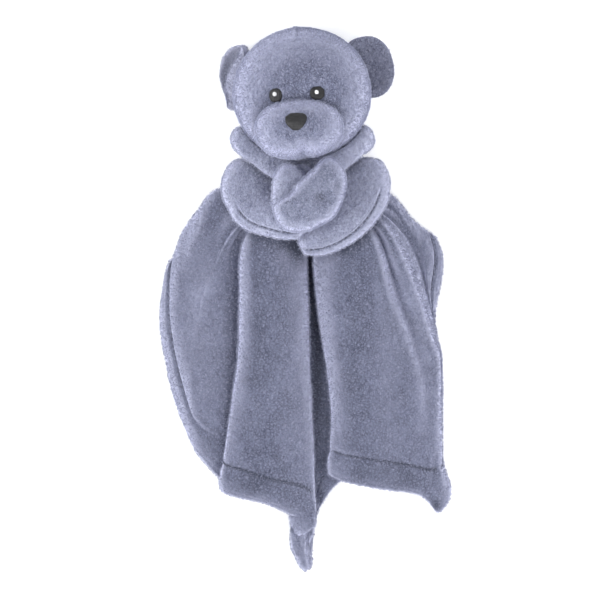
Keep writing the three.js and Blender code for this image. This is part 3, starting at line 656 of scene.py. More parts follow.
# Brow, eye sockets and cheeks: the middle across and up, half the width and height, and the rise
FACE_RISES = (
    (0, 4, 9, 7, 0.8), (-12.4, -2.4, 6, 5.5, -1.5), (12.4, -2.4, 6, 5.5, -1.5),
    (-31, -15, 12, 13, 1.1), (31, -15, 12, 13, 1.1),
)
EYES = {
    "left_eye": {"middle": (-12.6, -2.4), "half": (4.0, 4.2), "shine": (-0.2, 1.0)},
    "right_eye": {"middle": (12.4, -3.2), "half": (4.3, 4.1), "shine": (-0.7, 0.5)},
}
SHINE_RADII = np.array([1.3, 1.35, 0.75])
SHINE_HEIGHT = 1.35
NOSE = {"middle": (0.1, -20.3), "half": (6.0, 5.2), "seed": 8.0, "taper": 0.34, "segments": 26}
PATCH_THICK, PATCH_SUNK, PATCH_RIM = 1.5, 0.8, 0.05
STRAND_WIDTH, STRAND_RISE = 0.55, 0.09


def super_ball(directions, radii, power):
    """A ball stretched to its radii, whose sides grow fuller as the power rises over 2."""
    full = (np.abs(directions) ** power).sum(axis=1) ** (-1 / power)
    return directions * full[:, None] * radii


def head_shape():
    """A ball with the rises of the face and the seam over the crown."""
    directions, faces = quad_ball(64)
    p = directions * HEAD_RADII
    x, y, z = p.T
    seam = 0.9 * bump(x + 0.6, 1.6) * step(y, 27, 35) * step(z, -30, -10)
    face = sum(
        rise * bump(x - across, wide) * bump(y - up, high)
        for across, up, wide, high, rise in FACE_RISES
    )
    p = p + directions * (seam + step(z, 0, 14) * face)[:, None]
    return fluffed(p, faces, 1.3, 11.0), faces


def muzzle_shape():
    """A full ball with two soft lobes, notched where they meet below the nose."""
    directions, faces = quad_ball(56)
    p = super_ball(directions, MUZZLE_RADII, 2.25)
    x, y, z = p.T
    notch = bump(x - 2.4, 3.2) * step(-y, 6, 15) * step(z, -12, 8)
    lobes = sum(bump(x - side * 12, 9) * bump(y + 7, 9) for side in (-1, 1)) * step(z, 0, 12)
    p = p * (1 - 0.09 * notch + 0.02 * lobes)[:, None]
    return fluffed(p, faces, 1.1, 23.0) + MUZZLE_CENTRE, faces


def on_face(tree, x, y):
    """Point and normal of the face's surface, seen along the head's own front axis."""
    point, normal, _, _ = tree.ray_cast(Vector((x, y, FACE_HIGH)), Vector((0, 0, -1)))
    return np.array(point), np.array(normal)


def patch(tree, middle, half, seed, taper=0.0, segments=20):
    """A domed, satin-stitched patch that follows the surface under it; taper narrows its lower end."""
    directions, faces = quad_ball(segments)
    flat = super_ball(directions, np.array([*half, 1.0]), 2.3)
    u, v, w = flat.T
    u = u * (1 + taper * v / half[1])
    ragged = 1 + PATCH_RIM * noisy(directions * 4, 1.0, seed)
    thick = np.where(w > 0, PATCH_THICK + STRAND_RISE * np.sin(u / STRAND_WIDTH * math.pi), PATCH_SUNK)
    points = np.empty_like(flat)
    for k in range(len(flat)):
        base, normal = on_face(tree, middle[0] + u[k] * ragged[k], middle[1] + v[k] * ragged[k])
        points[k] = base + normal * (thick[k] * w[k])
    return points, faces


head_points, head_faces = head_shape()
muzzle_points, muzzle_faces = muzzle_shape()
head_tree = tree_of(head_points, head_faces)
muzzle_tree = tree_of(muzzle_points, muzzle_faces)
make(
    "plush_head", head_to_world(head_points), head_faces, head_plush, "head",
    ["head_front_panel", "head_back_panel", "head_filling"],
)
make("plush_muzzle", head_to_world(muzzle_points), muzzle_faces, head_plush, "head", ["muzzle_panel"])

for number, (name, eye) in enumerate(EYES.items()):
    points, faces = patch(head_tree, eye["middle"], eye["half"], 2.0 + number)
    make("stitched_" + name, head_to_world(points), faces, black_thread, "head", [name])
    directions, faces = quad_ball(8)
    base, normal = on_face(head_tree, *np.add(eye["middle"], eye["shine"]))
    shine = head_to_world(base + normal * SHINE_HEIGHT + directions * SHINE_RADII)
    highlight = name + "_highlight"
    make("stitched_" + highlight, shine, faces, white_thread, "head", [highlight])
points, faces = patch(muzzle_tree, **NOSE)
make("stitched_nose", head_to_world(points), faces, black_thread, "head", ["nose"])


# Ears: cupped half discs that hinge on the head's outline
EAR_RADIUS = 19.5
EAR_CUP, EAR_HOLLOW = 4.0, 1.3
EAR_HALF_THICK = 3.4
EAR_ROOT = 0.7
# Where the lip's edge runs: up the ear and out from its root, in ear radii
EAR_FOLD = ((-1.0, 0.3), (-0.6, 0.52), (-0.2, 0.56), (0.1, 0.48), (0.4, 0.28), (0.7, 0.02), (1.0, -0.3))
EARS = {
    "left_ear": {
        "lean": 44.0, "out_by": 1.07, "up_by": 1.15, "flare": 0.34, "narrow": 0.8, "lip": 3.2, "seed": 31.0,
    },
    "right_ear": {
        "lean": 12.0, "out_by": 0.92, "up_by": 1.05, "flare": 0.16, "narrow": 0.1, "lip": 0.0, "seed": 37.0,
    },
}


def ear_axes(hinge, lean):
    """The ear's ways along its hinge, outwards and forwards, when it leans back by so many degrees."""
    along = unit(np.array(hinge["axis"], float))
    out = unit(np.array(hinge["pos_m"]) / MM - HEAD_CENTRE)
    out = unit(out - along * (out @ along))
    front = unit(np.cross(along, out))
    front = front if front @ HEAD_AXES[:, 2] > 0 else -front
    tilt = math.radians(lean)
    return along, out * math.cos(tilt) - front * math.sin(tilt), front * math.cos(tilt) + out * math.sin(tilt)


def ear_shape(name, lean, out_by, up_by, flare, narrow, lip, seed):
    """An ear whose upper half is longer and wider; a lip folds over its front."""
    hinge = joint(name + "_fold")
    along, out, front = ear_axes(hinge, lean)
    directions, faces = quad_ball(44)
    s, t, thick = super_ball(directions, np.ones(3), 2.2).T
    reach = np.hypot(s, t)
    above = s * np.sign(along[1])
    fold = np.interp(above, *np.transpose(EAR_FOLD))
    lip_height = lip * (1 - step(t, fold - 0.06, fold + 0.1)) * step(thick, 0, 0.35)
    widening = 1 + np.where(above > 0, flare, narrow) * above
    t = np.where(t > 0, out_by * widening * t, EAR_ROOT * t)
    s = np.where(above > 0, up_by * s, s)
    cup = EAR_CUP * (1 - np.clip(reach, 0, 1) ** 2)
    hollow = np.where(thick > 0, EAR_HOLLOW * (1 - step(reach, 0.62, 0.86)), 0)
    lower_end = step(-above, 0.35, 1.0)
    height = EAR_HALF_THICK * thick * (1 - 0.5 * bool(lip) * lower_end) - cup - hollow + lip_height
    outwards_by = EAR_RADIUS * t - lip * lower_end
    base = np.array(hinge["pos_m"]) / MM
    p = base + along * (EAR_RADIUS * s)[:, None] + out * outwards_by[:, None] + front * height[:, None]
    faces = outwards(p, faces)
    outside_fold = step(t, fold, fold + 0.12) if lip else 1.0
    inner = (thick > 0) * outside_fold * (1 - step(reach, 0.84, 0.99))
    return fluffed(p, faces, 0.8, seed), faces, inner


# How dark a surface is where another one lies close, and within how many millimetres
MUZZLE_SHADE, MUZZLE_REACH = 0.6, 3.0
EAR_ROOT_SHADE, EAR_ROOT_REACH = 0.6, 3.0
COLLAR_SHADE, COLLAR_REACH, HEAD_CLEAR = 0.9, 4.5, 1.5
PAW_SHADE, PAW_REACH = 0.7, 4.5
UNDER_ARM_SHADE, UNDER_ARM_REACH = 0.8, 6.5
INNER_EAR_SHADE = {"left_ear": 0.7, "right_ear": 0.1}
DIMPLE_SHADE = 0.3

shaded = {
    "plush_head": shade_near(head_points, [muzzle_tree], MUZZLE_SHADE, MUZZLE_REACH),
    "plush_muzzle": shade_near(muzzle_points, [head_tree], 0.5 * MUZZLE_SHADE, 0.5 * MUZZLE_REACH),
}
for name, ear in EARS.items():
    points, faces, inner = ear_shape(name, **ear)
    at_head = shade_near(world_to_head(points), [head_tree], EAR_ROOT_SHADE, EAR_ROOT_REACH)
    shaded["plush_" + name] = np.maximum(INNER_EAR_SHADE[name] * inner, at_head)
    make("plush_" + name, points, faces, ear_plush, name, [name + "_front", name + "_back"])


# Collar: a soft roll that leans on the head and the muzzle
COLLAR_ALONG, COLLAR_AROUND = 190, 56
COLLAR_RADIUS, COLLAR_DROP = 9.4, 13.0
COLLAR_MIDDLE, COLLAR_LOW = (1.2, 20.4), 8.9
COLLAR_HALF_WIDTH, COLLAR_HALF_HEIGHT, COLLAR_LEAN = 35, 19, 19
SWINGS = [
    (turn, nod)
    for turn in np.radians(np.linspace(*joint("head_turn")["range_deg"], 11))
    for nod in np.radians(np.linspace(*joint("head_nod")["range_deg"], 3))
]


def turned(p, axis, angle):
    """Head-frame points turned about one of the head's own axes."""
    return p @ np.array(Matrix.Rotation(angle, 3, Vector(axis))).T


def seen_from_head(p, turn, nod):
    """Points in the frame of a head that has turned and nodded so far."""
    return turned(turned(p, (0, 1, 0), -turn), (-1, 0, 0), -nod)


def clear_of_head(points):
    """Points pushed out of the room that the head and the muzzle sweep as they turn and nod."""
    p = world_to_head(points)
    for turn, nod in SWINGS:
        q = seen_from_head(p, turn, nod)
        for middle, radii in ((np.zeros(3), HEAD_RADII), (MUZZLE_CENTRE, MUZZLE_RADII)):
            depth = np.linalg.norm((q - middle) / (radii + GAP), axis=1)
            out = middle + (q - middle) / np.maximum(depth, 0.05)[:, None]
            q = np.where(depth[:, None] < 1, out, q)
        p = turned(turned(q, (-1, 0, 0), nod), (0, 1, 0), turn)
    return head_to_world(p)


def drop_below_head(points):
    """How far each point would go down to come out under the room that the muzzle sweeps."""
    down = np.array([[0.0, 0.0, -1.0]]) @ HEAD_AXES
    p = world_to_head(points)
    room = MUZZLE_RADII + GAP
    most = np.zeros(len(points))
    for turn, nod in SWINGS:
        start = (seen_from_head(p, turn, nod) - MUZZLE_CENTRE) / room
        way = seen_from_head(down, turn, nod) / room
        a = (way * way).sum(axis=1)
        b = (start * way).sum(axis=1)
        c = (start * start).sum(axis=1) - 1
        out = (-b + np.sqrt(np.maximum(b * b - a * c, 0))) / a
        most = np.maximum(most, np.where(c < 0, out, 0))
    return most


def collar_shape():
    """A lumpy ring round the neck, lowered under the muzzle and pressed against the head."""
    a = np.linspace(0, 2 * math.pi, COLLAR_ALONG, endpoint=False)
    middle = np.stack([
        COLLAR_MIDDLE[0] + COLLAR_HALF_WIDTH * np.cos(a),
        COLLAR_MIDDLE[1] - COLLAR_LEAN * np.maximum(0, np.sin(a)) ** 2,
        COLLAR_HALF_HEIGHT * (1 + np.sin(a)) + COLLAR_LOW,
    ], axis=1)
    tangent = unit(np.roll(middle, -1, axis=0) - np.roll(middle, 1, axis=0))
    out = unit(np.cross(tangent, np.array([0.0, 1.0, 0.0])))
    other = np.cross(tangent, out)
    b = np.linspace(0, 2 * math.pi, COLLAR_AROUND, endpoint=False)
    ring = out[:, None] * np.cos(b)[:, None] + other[:, None] * np.sin(b)[:, None]
    swell = 1 + 0.035 * np.sin(7 * a + 1) + 0.025 * np.sin(13 * a)
    points = (middle[:, None] + ring * (COLLAR_RADIUS * swell)[:, None, None]).reshape(-1, 3)
    faces = outwards(points, grid_faces(COLLAR_ALONG, COLLAR_AROUND, round_rows=True, round_columns=True))
    points = fluffed(points, faces, 1.3, 41.0)
    grid = points.reshape(COLLAR_ALONG, COLLAR_AROUND, 3)
    drop = np.minimum(drop_below_head(points).reshape(grid.shape[:2]), COLLAR_DROP).max(axis=1)
    kernel = np.hanning(17) / np.hanning(17).sum()
    drop = np.convolve(np.tile(drop, 3), kernel, "same")[COLLAR_ALONG:2 * COLLAR_ALONG]
    height = (grid[..., 2] - grid[..., 2].min(axis=1, keepdims=True)) / (2 * COLLAR_RADIUS)
    grid[..., 2] -= drop[:, None] * (0.3 + 0.7 * np.clip(height, 0, 1))
    points = clear_of_head(clear_of_head(points))
    points = clear_of_head(relaxed(points, faces, 2, 0.4))
    points[:, 2] = np.maximum(points[:, 2], 1.0)
    return points, faces


collar_points, collar_faces = collar_shape()
collar_tree = tree_of(collar_points, collar_faces)
collar = make("plush_collar", collar_points, collar_faces, limb_plush, "root", ["neck_roll"])

NECK_DISC_CENTRE = (4.35, 7.45, 36.0)
NECK_DISC_RADII = (12.6, 2.6, 12.6)
directions, faces = quad_ball(14)
make("plush_neck", directions * NECK_DISC_RADII + NECK_DISC_CENTRE, faces, head_plush, "neck", ["neck_disc"])


# Arms. Each row, from shoulder to paw: a place of the middle line in arm units, then how wide and deep it is.
ARM_UNIT, ARM_WIDTH, ARM_DEPTH = 35.0, 32.0, 22.0
ARM_CAP = 8.0
ARM_SIDES = 160
# Where round the arm its topstitch and the flange beside it run, and how deep or high and how wide they are
ARM_SEAM, ARM_GROOVE, ARM_GROOVE_WIDTH = math.radians(48), 1.1, 0.6
FLANGE, FLANGE_RISE, FLANGE_WIDTH = 0.3, 1.2, 0.36
ARMS = {
    "left_arm": {
        "table": (
            (-0.74, 0.26, 0.62, 0.76, 0.9),
            (-0.865, -0.22, 0.66, 1.17, 1.04),
            (-0.76, -0.58, 0.77, 1.01, 0.97),
            (-0.38, -0.83, 0.97, 0.7, 0.8),
            (0.15, -0.93, 1.09, 0.54, 0.66),
        ),
        "side": -1, "sewn_from": 0.45, "sewn_to": 0.92, "seed": 51.0,
    },
    "right_arm": {
        "table": (
            (0.99, 0.28, 0.62, 0.8, 0.9),
            (1.075, -0.18, 0.68, 1.16, 1.05),
            (0.98, -0.57, 0.77, 1.0, 0.98),
            (0.7, -0.95, 0.84, 0.76, 0.86),
            (0.32, -1.16, 0.84, 0.62, 0.76),
            (-0.05, -1.21, 0.76, 0.5, 0.66),
        ),
        "side": 1, "sewn_from": 0.3, "sewn_to": 0.93, "seed": 57.0,
    },
}


def arm_shape(table, side, sewn_from, sewn_to, seed):
    """An arm's points, faces and the line of its topstitch with its normals; side is -1 for the left one."""
    table = np.array(table, float)
    centres = table[:, :3] * ARM_UNIT
    knots = np.concatenate([[0], np.cumsum(np.linalg.norm(np.diff(centres, axis=0), axis=1))])
    length = knots[-1]
    bend = ARM_CAP * (1 - np.cos(np.linspace(0, math.pi / 2, 13)[1:]))
    way = np.concatenate([bend, np.arange(ARM_CAP + 1, length - ARM_CAP, 1.0), length - bend[::-1]])
    middle = smooth_through(knots, centres, way)
    ahead = unit(np.gradient(middle, way, axis=0))
    outward = unit(np.cross(ahead, np.array([0.0, 0.0, 1.0])) * -side)
    upward = unit(np.cross(outward, ahead) * -side)
    upward = upward * np.sign(upward[:, 2:])
    end = np.minimum(way, length - way) / ARM_CAP
    rounding = np.sqrt(1 - (1 - np.minimum(end, 1)) ** 2)
    half_widths = smooth_through(knots, table[:, 3], way) * ARM_WIDTH / 2 * rounding
    half_depths = smooth_through(knots, table[:, 4], way) * ARM_DEPTH / 2 * rounding
    points, faces, turn = loft(middle, outward, upward, half_widths, half_depths, ARM_SIDES)
    faces = outwards(points, faces)
    share = way / length
    sewn = step(share, sewn_from - 0.05, sewn_from) * (1 - step(share, sewn_to, sewn_to + 0.05))
    arc = (turn[None, :] - ARM_SEAM) * (0.5 * (half_widths + half_depths))[:, None]
    groove = ARM_GROOVE * bump(arc, ARM_GROOVE_WIDTH) * sewn[:, None]
    flange = FLANGE_RISE * bump(turn[None, :] - FLANGE, FLANGE_WIDTH) * sewn[:, None]
    n = normals_of(points, faces)
    count = len(way) * ARM_SIDES
    points[:count] += n[:count] * (flange - groove).reshape(-1, 1)
    points = fluffed(points, faces, 1.2, seed)
    column = round(ARM_SEAM / (2 * math.pi) * ARM_SIDES)
    kept = (share > sewn_from) & (share < sewn_to)
    line, line_normals = (values[:count].reshape(-1, ARM_SIDES, 3)[kept, column] for values in (points, n))
    return points, faces, line, line_normals


arm_points, arm_seams, arm_trees = {}, {}, []
for name, arm in ARMS.items():
    points, faces, *arm_seams[name] = arm_shape(**arm)
    points = clear_of_head(points)
    make("plush_" + name, points, faces, limb_plush, "root", [name + "_skin", name + "_filling"])
    arm_points[name] = points
    arm_trees.append(tree_of(points, faces))
    shaded["plush_" + name] = shade_near(points, [collar_tree], COLLAR_SHADE, COLLAR_REACH)
shaded["plush_collar"] = np.maximum(
    shade_near(collar_points, arm_trees, COLLAR_SHADE, COLLAR_REACH),
    shade_near(world_to_head(collar_points), [head_tree], COLLAR_SHADE, COLLAR_REACH, HEAD_CLEAR),
)


# Paws, by the outlines that the photograph shows
FRONT_PAW_HEIGHT, FRONT_PAW_HALF, FRONT_PAW_POWER = 58.0, 12.5, 2.8
FRONT_PAW_PX = [
    (324, 158.2), (319, 162.2), (314, 168), (306, 175.5), (300, 182.5), (292.5, 190.5), (286.5, 195.5),
    (280, 199.5), (274.5, 203.5), (273.8, 209), (277.3, 216), (281.4, 222), (286.4, 227), (293.6, 230.5),
    (302.9, 232), (308.6, 231.5), (315.7, 228), (322.1, 222.5), (330, 217), (337.1, 209.3), (342.1, 201.4),
    (345.4, 193), (346.1, 185.7), (345, 178.6), (341.4, 171.4), (335.7, 163.8), (330, 159.2),
]
REAR_PAW_HEIGHT, REAR_PAW_HALF, REAR_PAW_POWER = 50.5, 10.5, 2.6
REAR_PAW_PX = [
    (287.2, 163), (281.8, 165.5), (278, 171), (274.6, 177), (272.3, 184.5), (271.4, 193), (271.9, 200),
    (273.9, 208), (279, 215), (288, 219), (299, 217), (308, 208), (312, 196), (313.5, 184), (314, 173),
    (308, 165.5), (299, 163.5), (292.5, 162.5),
]
# The rear paw's crease, from its upper end to its lower one, the rows it fades over, and its depth
CREASE_PX, CREASE_ROWS_PX, CREASE_DEPTH = ((289.5, 159), (307, 178)), (188, 178), 5.0
# Dimples: the middle in pixels, and the width and depth in millimetres
DIMPLES_PX = ((321, 196.5, 4.8, 2.4), (338.5, 185, 3.6, 1.3), (322, 172, 3.0, 0.7))


def pebble(outline_px, height, half_depth, power):
    """A soft stuffed lobe whose outline, seen from the front, is the given one."""
    outline = place([(x, y, height) for x, y in outline_px])[:, :2]
    centre = (outline.min(axis=0) + outline.max(axis=0)) / 2
    reach = np.linalg.norm(outline - centre, axis=1)
    angle = np.arctan2(*(outline - centre).T[::-1])
    order = np.argsort(angle)
    directions, faces = quad_ball(48)
    d = super_ball(directions, np.ones(3), power)
    fine = np.linspace(-math.pi, math.pi, 361)
    radius = np.interp(fine, angle[order], reach[order], period=2 * math.pi)
    radius = np.convolve(np.tile(radius[:-1], 3), np.hanning(15) / np.hanning(15).sum(), "same")[360:720]
    r = np.interp(np.arctan2(d[:, 1], d[:, 0]), fine[:-1], radius, period=2 * math.pi)
    across, up = centre[0] + r * d[:, 0], centre[1] + r * d[:, 1]
    return np.stack([across, up, height + half_depth * d[:, 2]], axis=1), faces


def front_paw_shape():
    """The upper paw, with dimples where it is tacked down, and the painted shade in them."""
    points, faces = pebble(FRONT_PAW_PX, FRONT_PAW_HEIGHT, FRONT_PAW_HALF, FRONT_PAW_POWER)
    n = normals_of(points, faces)
    top = step(n[:, 2], 0, 0.5)
    shade = np.zeros(len(points))
    for x, y, width, depth in DIMPLES_PX:
        middle = place((x, y, FRONT_PAW_HEIGHT + FRONT_PAW_HALF))
        near = np.linalg.norm((points - middle)[:, :2], axis=1)
        points = points - n * (depth * top * bump(near, width))[:, None]
        shade += DIMPLE_SHADE * depth * top * bump(near, 0.7 * width)
    return fluffed(points, faces, 1.0, 61.0), faces, shade


def rear_paw_shape(front_paw_tree):
    """The lower paw, creased from its top edge to behind the upper one, and pressed down under that."""
    points, faces = pebble(REAR_PAW_PX, REAR_PAW_HEIGHT, REAR_PAW_HALF, REAR_PAW_POWER)
    n = normals_of(points, faces)
    start, end = (place((x, y, REAR_PAW_HEIGHT))[:2] for x, y in CREASE_PX)
    along = unit(end - start)
    off = (points[:, :2] - start) @ np.array([-along[1], along[0]])
    upper = step(points[:, 1], *(place((0, row, REAR_PAW_HEIGHT))[1] for row in CREASE_ROWS_PX))
    points[:, 2] -= CREASE_DEPTH * step(off, -1.2, 1.6) * upper * step(n[:, 2], -0.6, 0.4)
    points = fluffed(points, faces, 1.0, 67.0)
    points = under(points, front_paw_tree, GAP, REAR_PAW_HEIGHT - REAR_PAW_HALF + 2)
    return relaxed(points, faces, 2, 0.4), faces


points, faces, shaded["plush_front_paw"] = front_paw_shape()
front_paw_tree = tree_of(points, faces)
for name, arm in arm_points.items():
    beside_paw = shade_near(arm, [front_paw_tree], PAW_SHADE, PAW_REACH)
    shaded["plush_" + name] = np.maximum(shaded["plush_" + name], beside_paw)
make("plush_front_paw", points, faces, paw_plush, "front_paw", ["front_paw_skin", "front_paw_filling"])
points, faces = rear_paw_shape(front_paw_tree)
make("plush_rear_paw", points, faces, limb_plush, "root", ["rear_paw_skin", "rear_paw_filling"])


# Stitches
STITCH_LENGTH, STITCH_GAP, STITCH_RADIUS, STITCH_RISE = 2.6, 1.1, 0.45, 0.35
seam_points = []


def stitches(name, line, normals, node):
    """A row of short stitches along a line on a surface."""
    seam_points.extend(line)
    reach = np.concatenate([[0], np.cumsum(np.linalg.norm(np.diff(line, axis=0), axis=1))])
    shape = np.linspace(0, 1, 7)
    arch = np.sin(shape * math.pi)
    points, faces = [], []
    for start in np.arange(0.4, reach[-1] - STITCH_LENGTH, STITCH_LENGTH + STITCH_GAP):
        way = start + shape * STITCH_LENGTH
        middle, up = (
            np.stack([np.interp(way, reach, values[:, k]) for k in range(3)], axis=1)
            for values in (line, normals)
        )
        up = unit(up)
        ahead = unit(np.gradient(middle, axis=0))
        side = unit(np.cross(ahead, up))
        middle = middle + up * (STITCH_RISE * arch)[:, None]
        radii = STITCH_RADIUS * (0.35 + 0.65 * arch ** 0.5)
        ring, quads, _ = loft(middle, side, np.cross(side, ahead), radii, radii, 8)
        faces.append(outwards(ring, quads) + sum(len(p) for p in points))
        points.append(ring)
    return make(name, np.concatenate(points), np.concatenate(faces), hem_thread, "root", [node])


for name, (line, normals) in arm_seams.items():
    stitches(name + "_stitches", line, normals, name + "_thread")


# The blanket's own surface
PLEATS, PLEAT_RISE = 26, 1.3
TIP_REACH, TIP_MIDDLE, TIP_CRUMPLE = (212, 222), 2.0, 1.8
EDGE_SHARE, EDGE_THINNING = 0.985, 0.75
HEM_THREADS = {
    "left": ("left_shoulder", "left_corner"),
    "front_left": ("left_5", "panel_right"),
    "front_right": ("right_left", "right_corner"),
    "right": ("right_corner", "right_shoulder"),
}


def pleated(points, faces, columns, shares):
    """Radial gathers that fade away from the neck."""
    ring = points[:columns]
    turns = np.arctan2(ring[:, 2] - NECK_MIDDLE[1], ring[:, 0] - NECK_MIDDLE[0])
    fade = step(shares, 0.02, 0.12) * (1 - step(shares, 0.2, 0.46))
    wave = np.sin(PLEATS * turns) + 0.35 * np.sin(0.5 * PLEATS * turns + 1.3)
    return points + normals_of(points, faces) * (PLEAT_RISE * wave[None, :] * fade[:, None]).reshape(-1, 1)


def cloth_middle(grid, faces, shares):
    """The cloth's middle surface, gathered at the neck, pressed down by the arms and crumpled at its tip."""
    columns = grid.shape[1]
    middle = relaxed(grid.reshape(-1, 3), faces, 3, 0.4)
    middle = pleated(middle, faces, columns, shares)
    pinned = np.repeat((shares < 0.1) | (shares > 0.9), columns)
    front_side = normals_of(middle, faces)[:, 2] > -0.2
    for tree in arm_trees:
        middle = np.where(front_side[:, None], under(middle, tree, PLY / 2 + GAP), middle)
    middle = relaxed(middle, faces, 2, 0.4, pinned)
    crumple = step(-middle[:, 1], *TIP_REACH) * (1 - step(np.abs(middle[:, 0] - TIP_MIDDLE), 8, 12))
    return middle + normals_of(middle, faces) * (TIP_CRUMPLE * noisy(middle, 4.5, 3.0) * crumple)[:, None]


grid, row_shares, fold_columns = cloth_grid()
rows, columns = grid.shape[:2]
middle_faces = grid_faces(rows, columns, round_columns=True)
middle = cloth_middle(grid, middle_faces, row_shares)
normals = normals_of(middle, middle_faces)
from_hem = (row_shares - HEM_SHARE) * HALF_SIDE
half_thick = PLY / 2 + HEM_RISE * step(from_hem, 0.5, 4.5) - GROOVE_DEPTH * bump(from_hem, GROOVE_WIDTH)
half_thick = np.where(row_shares > EDGE_SHARE, half_thick * EDGE_THINNING, half_thick)
offset = normals * np.repeat(half_thick, columns)[:, None]
rim = middle[-columns:] + unit(middle[-columns:] - middle[-2 * columns:-columns])
rear_side = (middle - offset).reshape(rows, columns, 3)[::-1].reshape(-1, 3)
cloth_points = np.concatenate([middle + offset, rim, rear_side])
cloth_faces = outwards(cloth_points, grid_faces(2 * rows + 1, columns, round_rows=True, round_columns=True))
cloth_points = fluffed(cloth_points, cloth_faces, 0.9, 71.0, 0.25)
cloth_points[:, 2] = np.maximum(cloth_points[:, 2], 0.1)
shaded["plush_blanket"] = shade_near(cloth_points, arm_trees, UNDER_ARM_SHADE, UNDER_ARM_REACH)
blanket = make("plush_blanket", cloth_points, cloth_faces, cloth_plush, "root", ["blanket", "neck_gather"])

hem_row = int(np.argmin(np.abs(from_hem)))
hem_line, hem_normals = (
    values[:rows * columns].reshape(rows, columns, 3)[hem_row]
    for values in (cloth_points, normals)
)
for name, (first, last) in HEM_THREADS.items():
    span = slice(fold_columns[first] + 2, fold_columns[last] - 1)
    row = stitches("hem_stitches_" + name, hem_line[span], hem_normals[span], "hem_thread_" + name)

# The thread wound round the neck's gathers
NECK_TIE_RADIUS, NECK_TIE_THICK, NECK_TIE_Y = 14.6, 0.5, -0.5
TIE_ALONG, TIE_AROUND = 96, 10
a = np.linspace(0, 2 * math.pi, TIE_ALONG, endpoint=False)
b = np.linspace(0, 2 * math.pi, TIE_AROUND, endpoint=False)
tie_out = np.stack([np.cos(a), np.zeros_like(a), np.sin(a)], axis=1)
tie = (
    np.array([NECK_MIDDLE[0], NECK_TIE_Y, NECK_MIDDLE[1]])
    + tie_out[:, None] * (NECK_TIE_RADIUS + NECK_TIE_THICK * np.cos(b))[:, None]
    + np.array([0.0, 1.0, 0.0]) * (NECK_TIE_THICK * np.sin(b))[:, None]
).reshape(-1, 3)
tie_faces = outwards(tie, grid_faces(TIE_ALONG, TIE_AROUND, round_rows=True, round_columns=True))
make("neck_tie", tie, tie_faces, hem_thread, "root", ["neck_thread"])


# Table, light and camera
def stage_plane(name, size, material):
    mesh = bpy.data.meshes.new(name)
    corners = [(x * size / 2, VIEW_Y * MM + y * size / 2, 0) for x, y in ((-1, -1), (1, -1), (1, 1), (-1, 1))]
    mesh.from_pydata(corners, [], [(0, 1, 2, 3)])
    mesh.materials.append(material)
    plane = bpy.data.objects.new(name, mesh)
    bpy.context.scene.collection.objects.link(plane)
    plane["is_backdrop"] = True


def seen_directly(nodes, links):
    """1 for what the camera sees, straight or through a shine."""
    path = nodes.new("ShaderNodeLightPath").outputs
    total = path["Is Camera Ray"]
    for ray in ("Is Glossy Ray", "Is Transmission Ray"):
        total = math_node(nodes, links, "ADD", total, path[ray], clamp=True)
    return total


table_material, nodes, links, shader = new_material("table")
shader.inputs["Base Color"].default_value = (0.9, 0.9, 0.9, 1)
set_surface(shader, 1.0, 0.0)
shader.inputs["Emission Color"].default_value = (1, 1, 1, 1)
# Far away the table glows a little more, so that no horizon shows
where = nodes.new("ShaderNodeTexCoord").outputs["Object"]
away = nodes.new("ShaderNodeVectorMath")
away.operation = "LENGTH"
links.new(where, away.inputs[0])
far = ramp_node(nodes, links, away.outputs["Value"], 0.45, 1.1, (0.28, 0.28, 0.28), (0.8, 0.8, 0.8))
lift = math_node(nodes, links, "MULTIPLY", seen_directly(nodes, links), far)
links.new(lift, shader.inputs["Emission Strength"])
stage_plane("table", 6.0, table_material)

HORIZON, ZENITH = (1.2, 1.22, 1.27), (0.4, 0.41, 0.43)
world = bpy.data.worlds.new("room")
bpy.context.scene.world = world
world.use_nodes = True
nodes, links = world.node_tree.nodes, world.node_tree.links
ambient = nodes["Background"]
direction = nodes.new("ShaderNodeTexCoord").outputs["Generated"]
height = nodes.new("ShaderNodeSeparateXYZ")
links.new(direction, height.inputs["Vector"])
links.new(ramp_node(nodes, links, height.outputs["Z"], 0.05, 0.95, HORIZON, ZENITH), ambient.inputs["Color"])
ambient.inputs["Strength"].default_value = 1.0
backdrop = nodes.new("ShaderNodeBackground")
backdrop.inputs["Color"].default_value = (1, 1, 1, 1)
backdrop.inputs["Strength"].default_value = 1.0
choose = nodes.new("ShaderNodeMixShader")
links.new(seen_directly(nodes, links), choose.inputs["Fac"])
links.new(ambient.outputs["Background"], choose.inputs[1])
links.new(backdrop.outputs["Background"], choose.inputs[2])
links.new(choose.outputs["Shader"], nodes["World Output"].inputs["Surface"])


def soft_light(name, place_m, size, power):
    lamp = bpy.data.lights.new(name, "AREA")
    lamp.shape = "DISK"
    lamp.size = size
    lamp.energy = power
    lamp_object = bpy.data.objects.new(name, lamp)
    lamp_object.location = place_m
    aim = Vector((0, VIEW_Y * MM, 0)) - Vector(place_m)
    lamp_object.rotation_euler = aim.to_track_quat("-Z", "Y").to_euler()
    bpy.context.scene.collection.objects.link(lamp_object)


soft_light("key", (-0.95, -0.15, 1.05), 1.0, 13.5)
soft_light("fill", (0.75, -0.75, 1.1), 1.2, 15.0)

camera = bpy.data.cameras.new("camera")
camera.lens = 150
camera.sensor_width = 36
camera.clip_end = 20
camera_object = bpy.data.objects.new("camera", camera)
camera_object.location = (0, VIEW_Y * MM, EYE_HEIGHT * MM)
bpy.context.scene.collection.objects.link(camera_object)
bpy.context.scene.camera = camera_object
bpy.context.scene.view_settings.view_transform = "Standard"
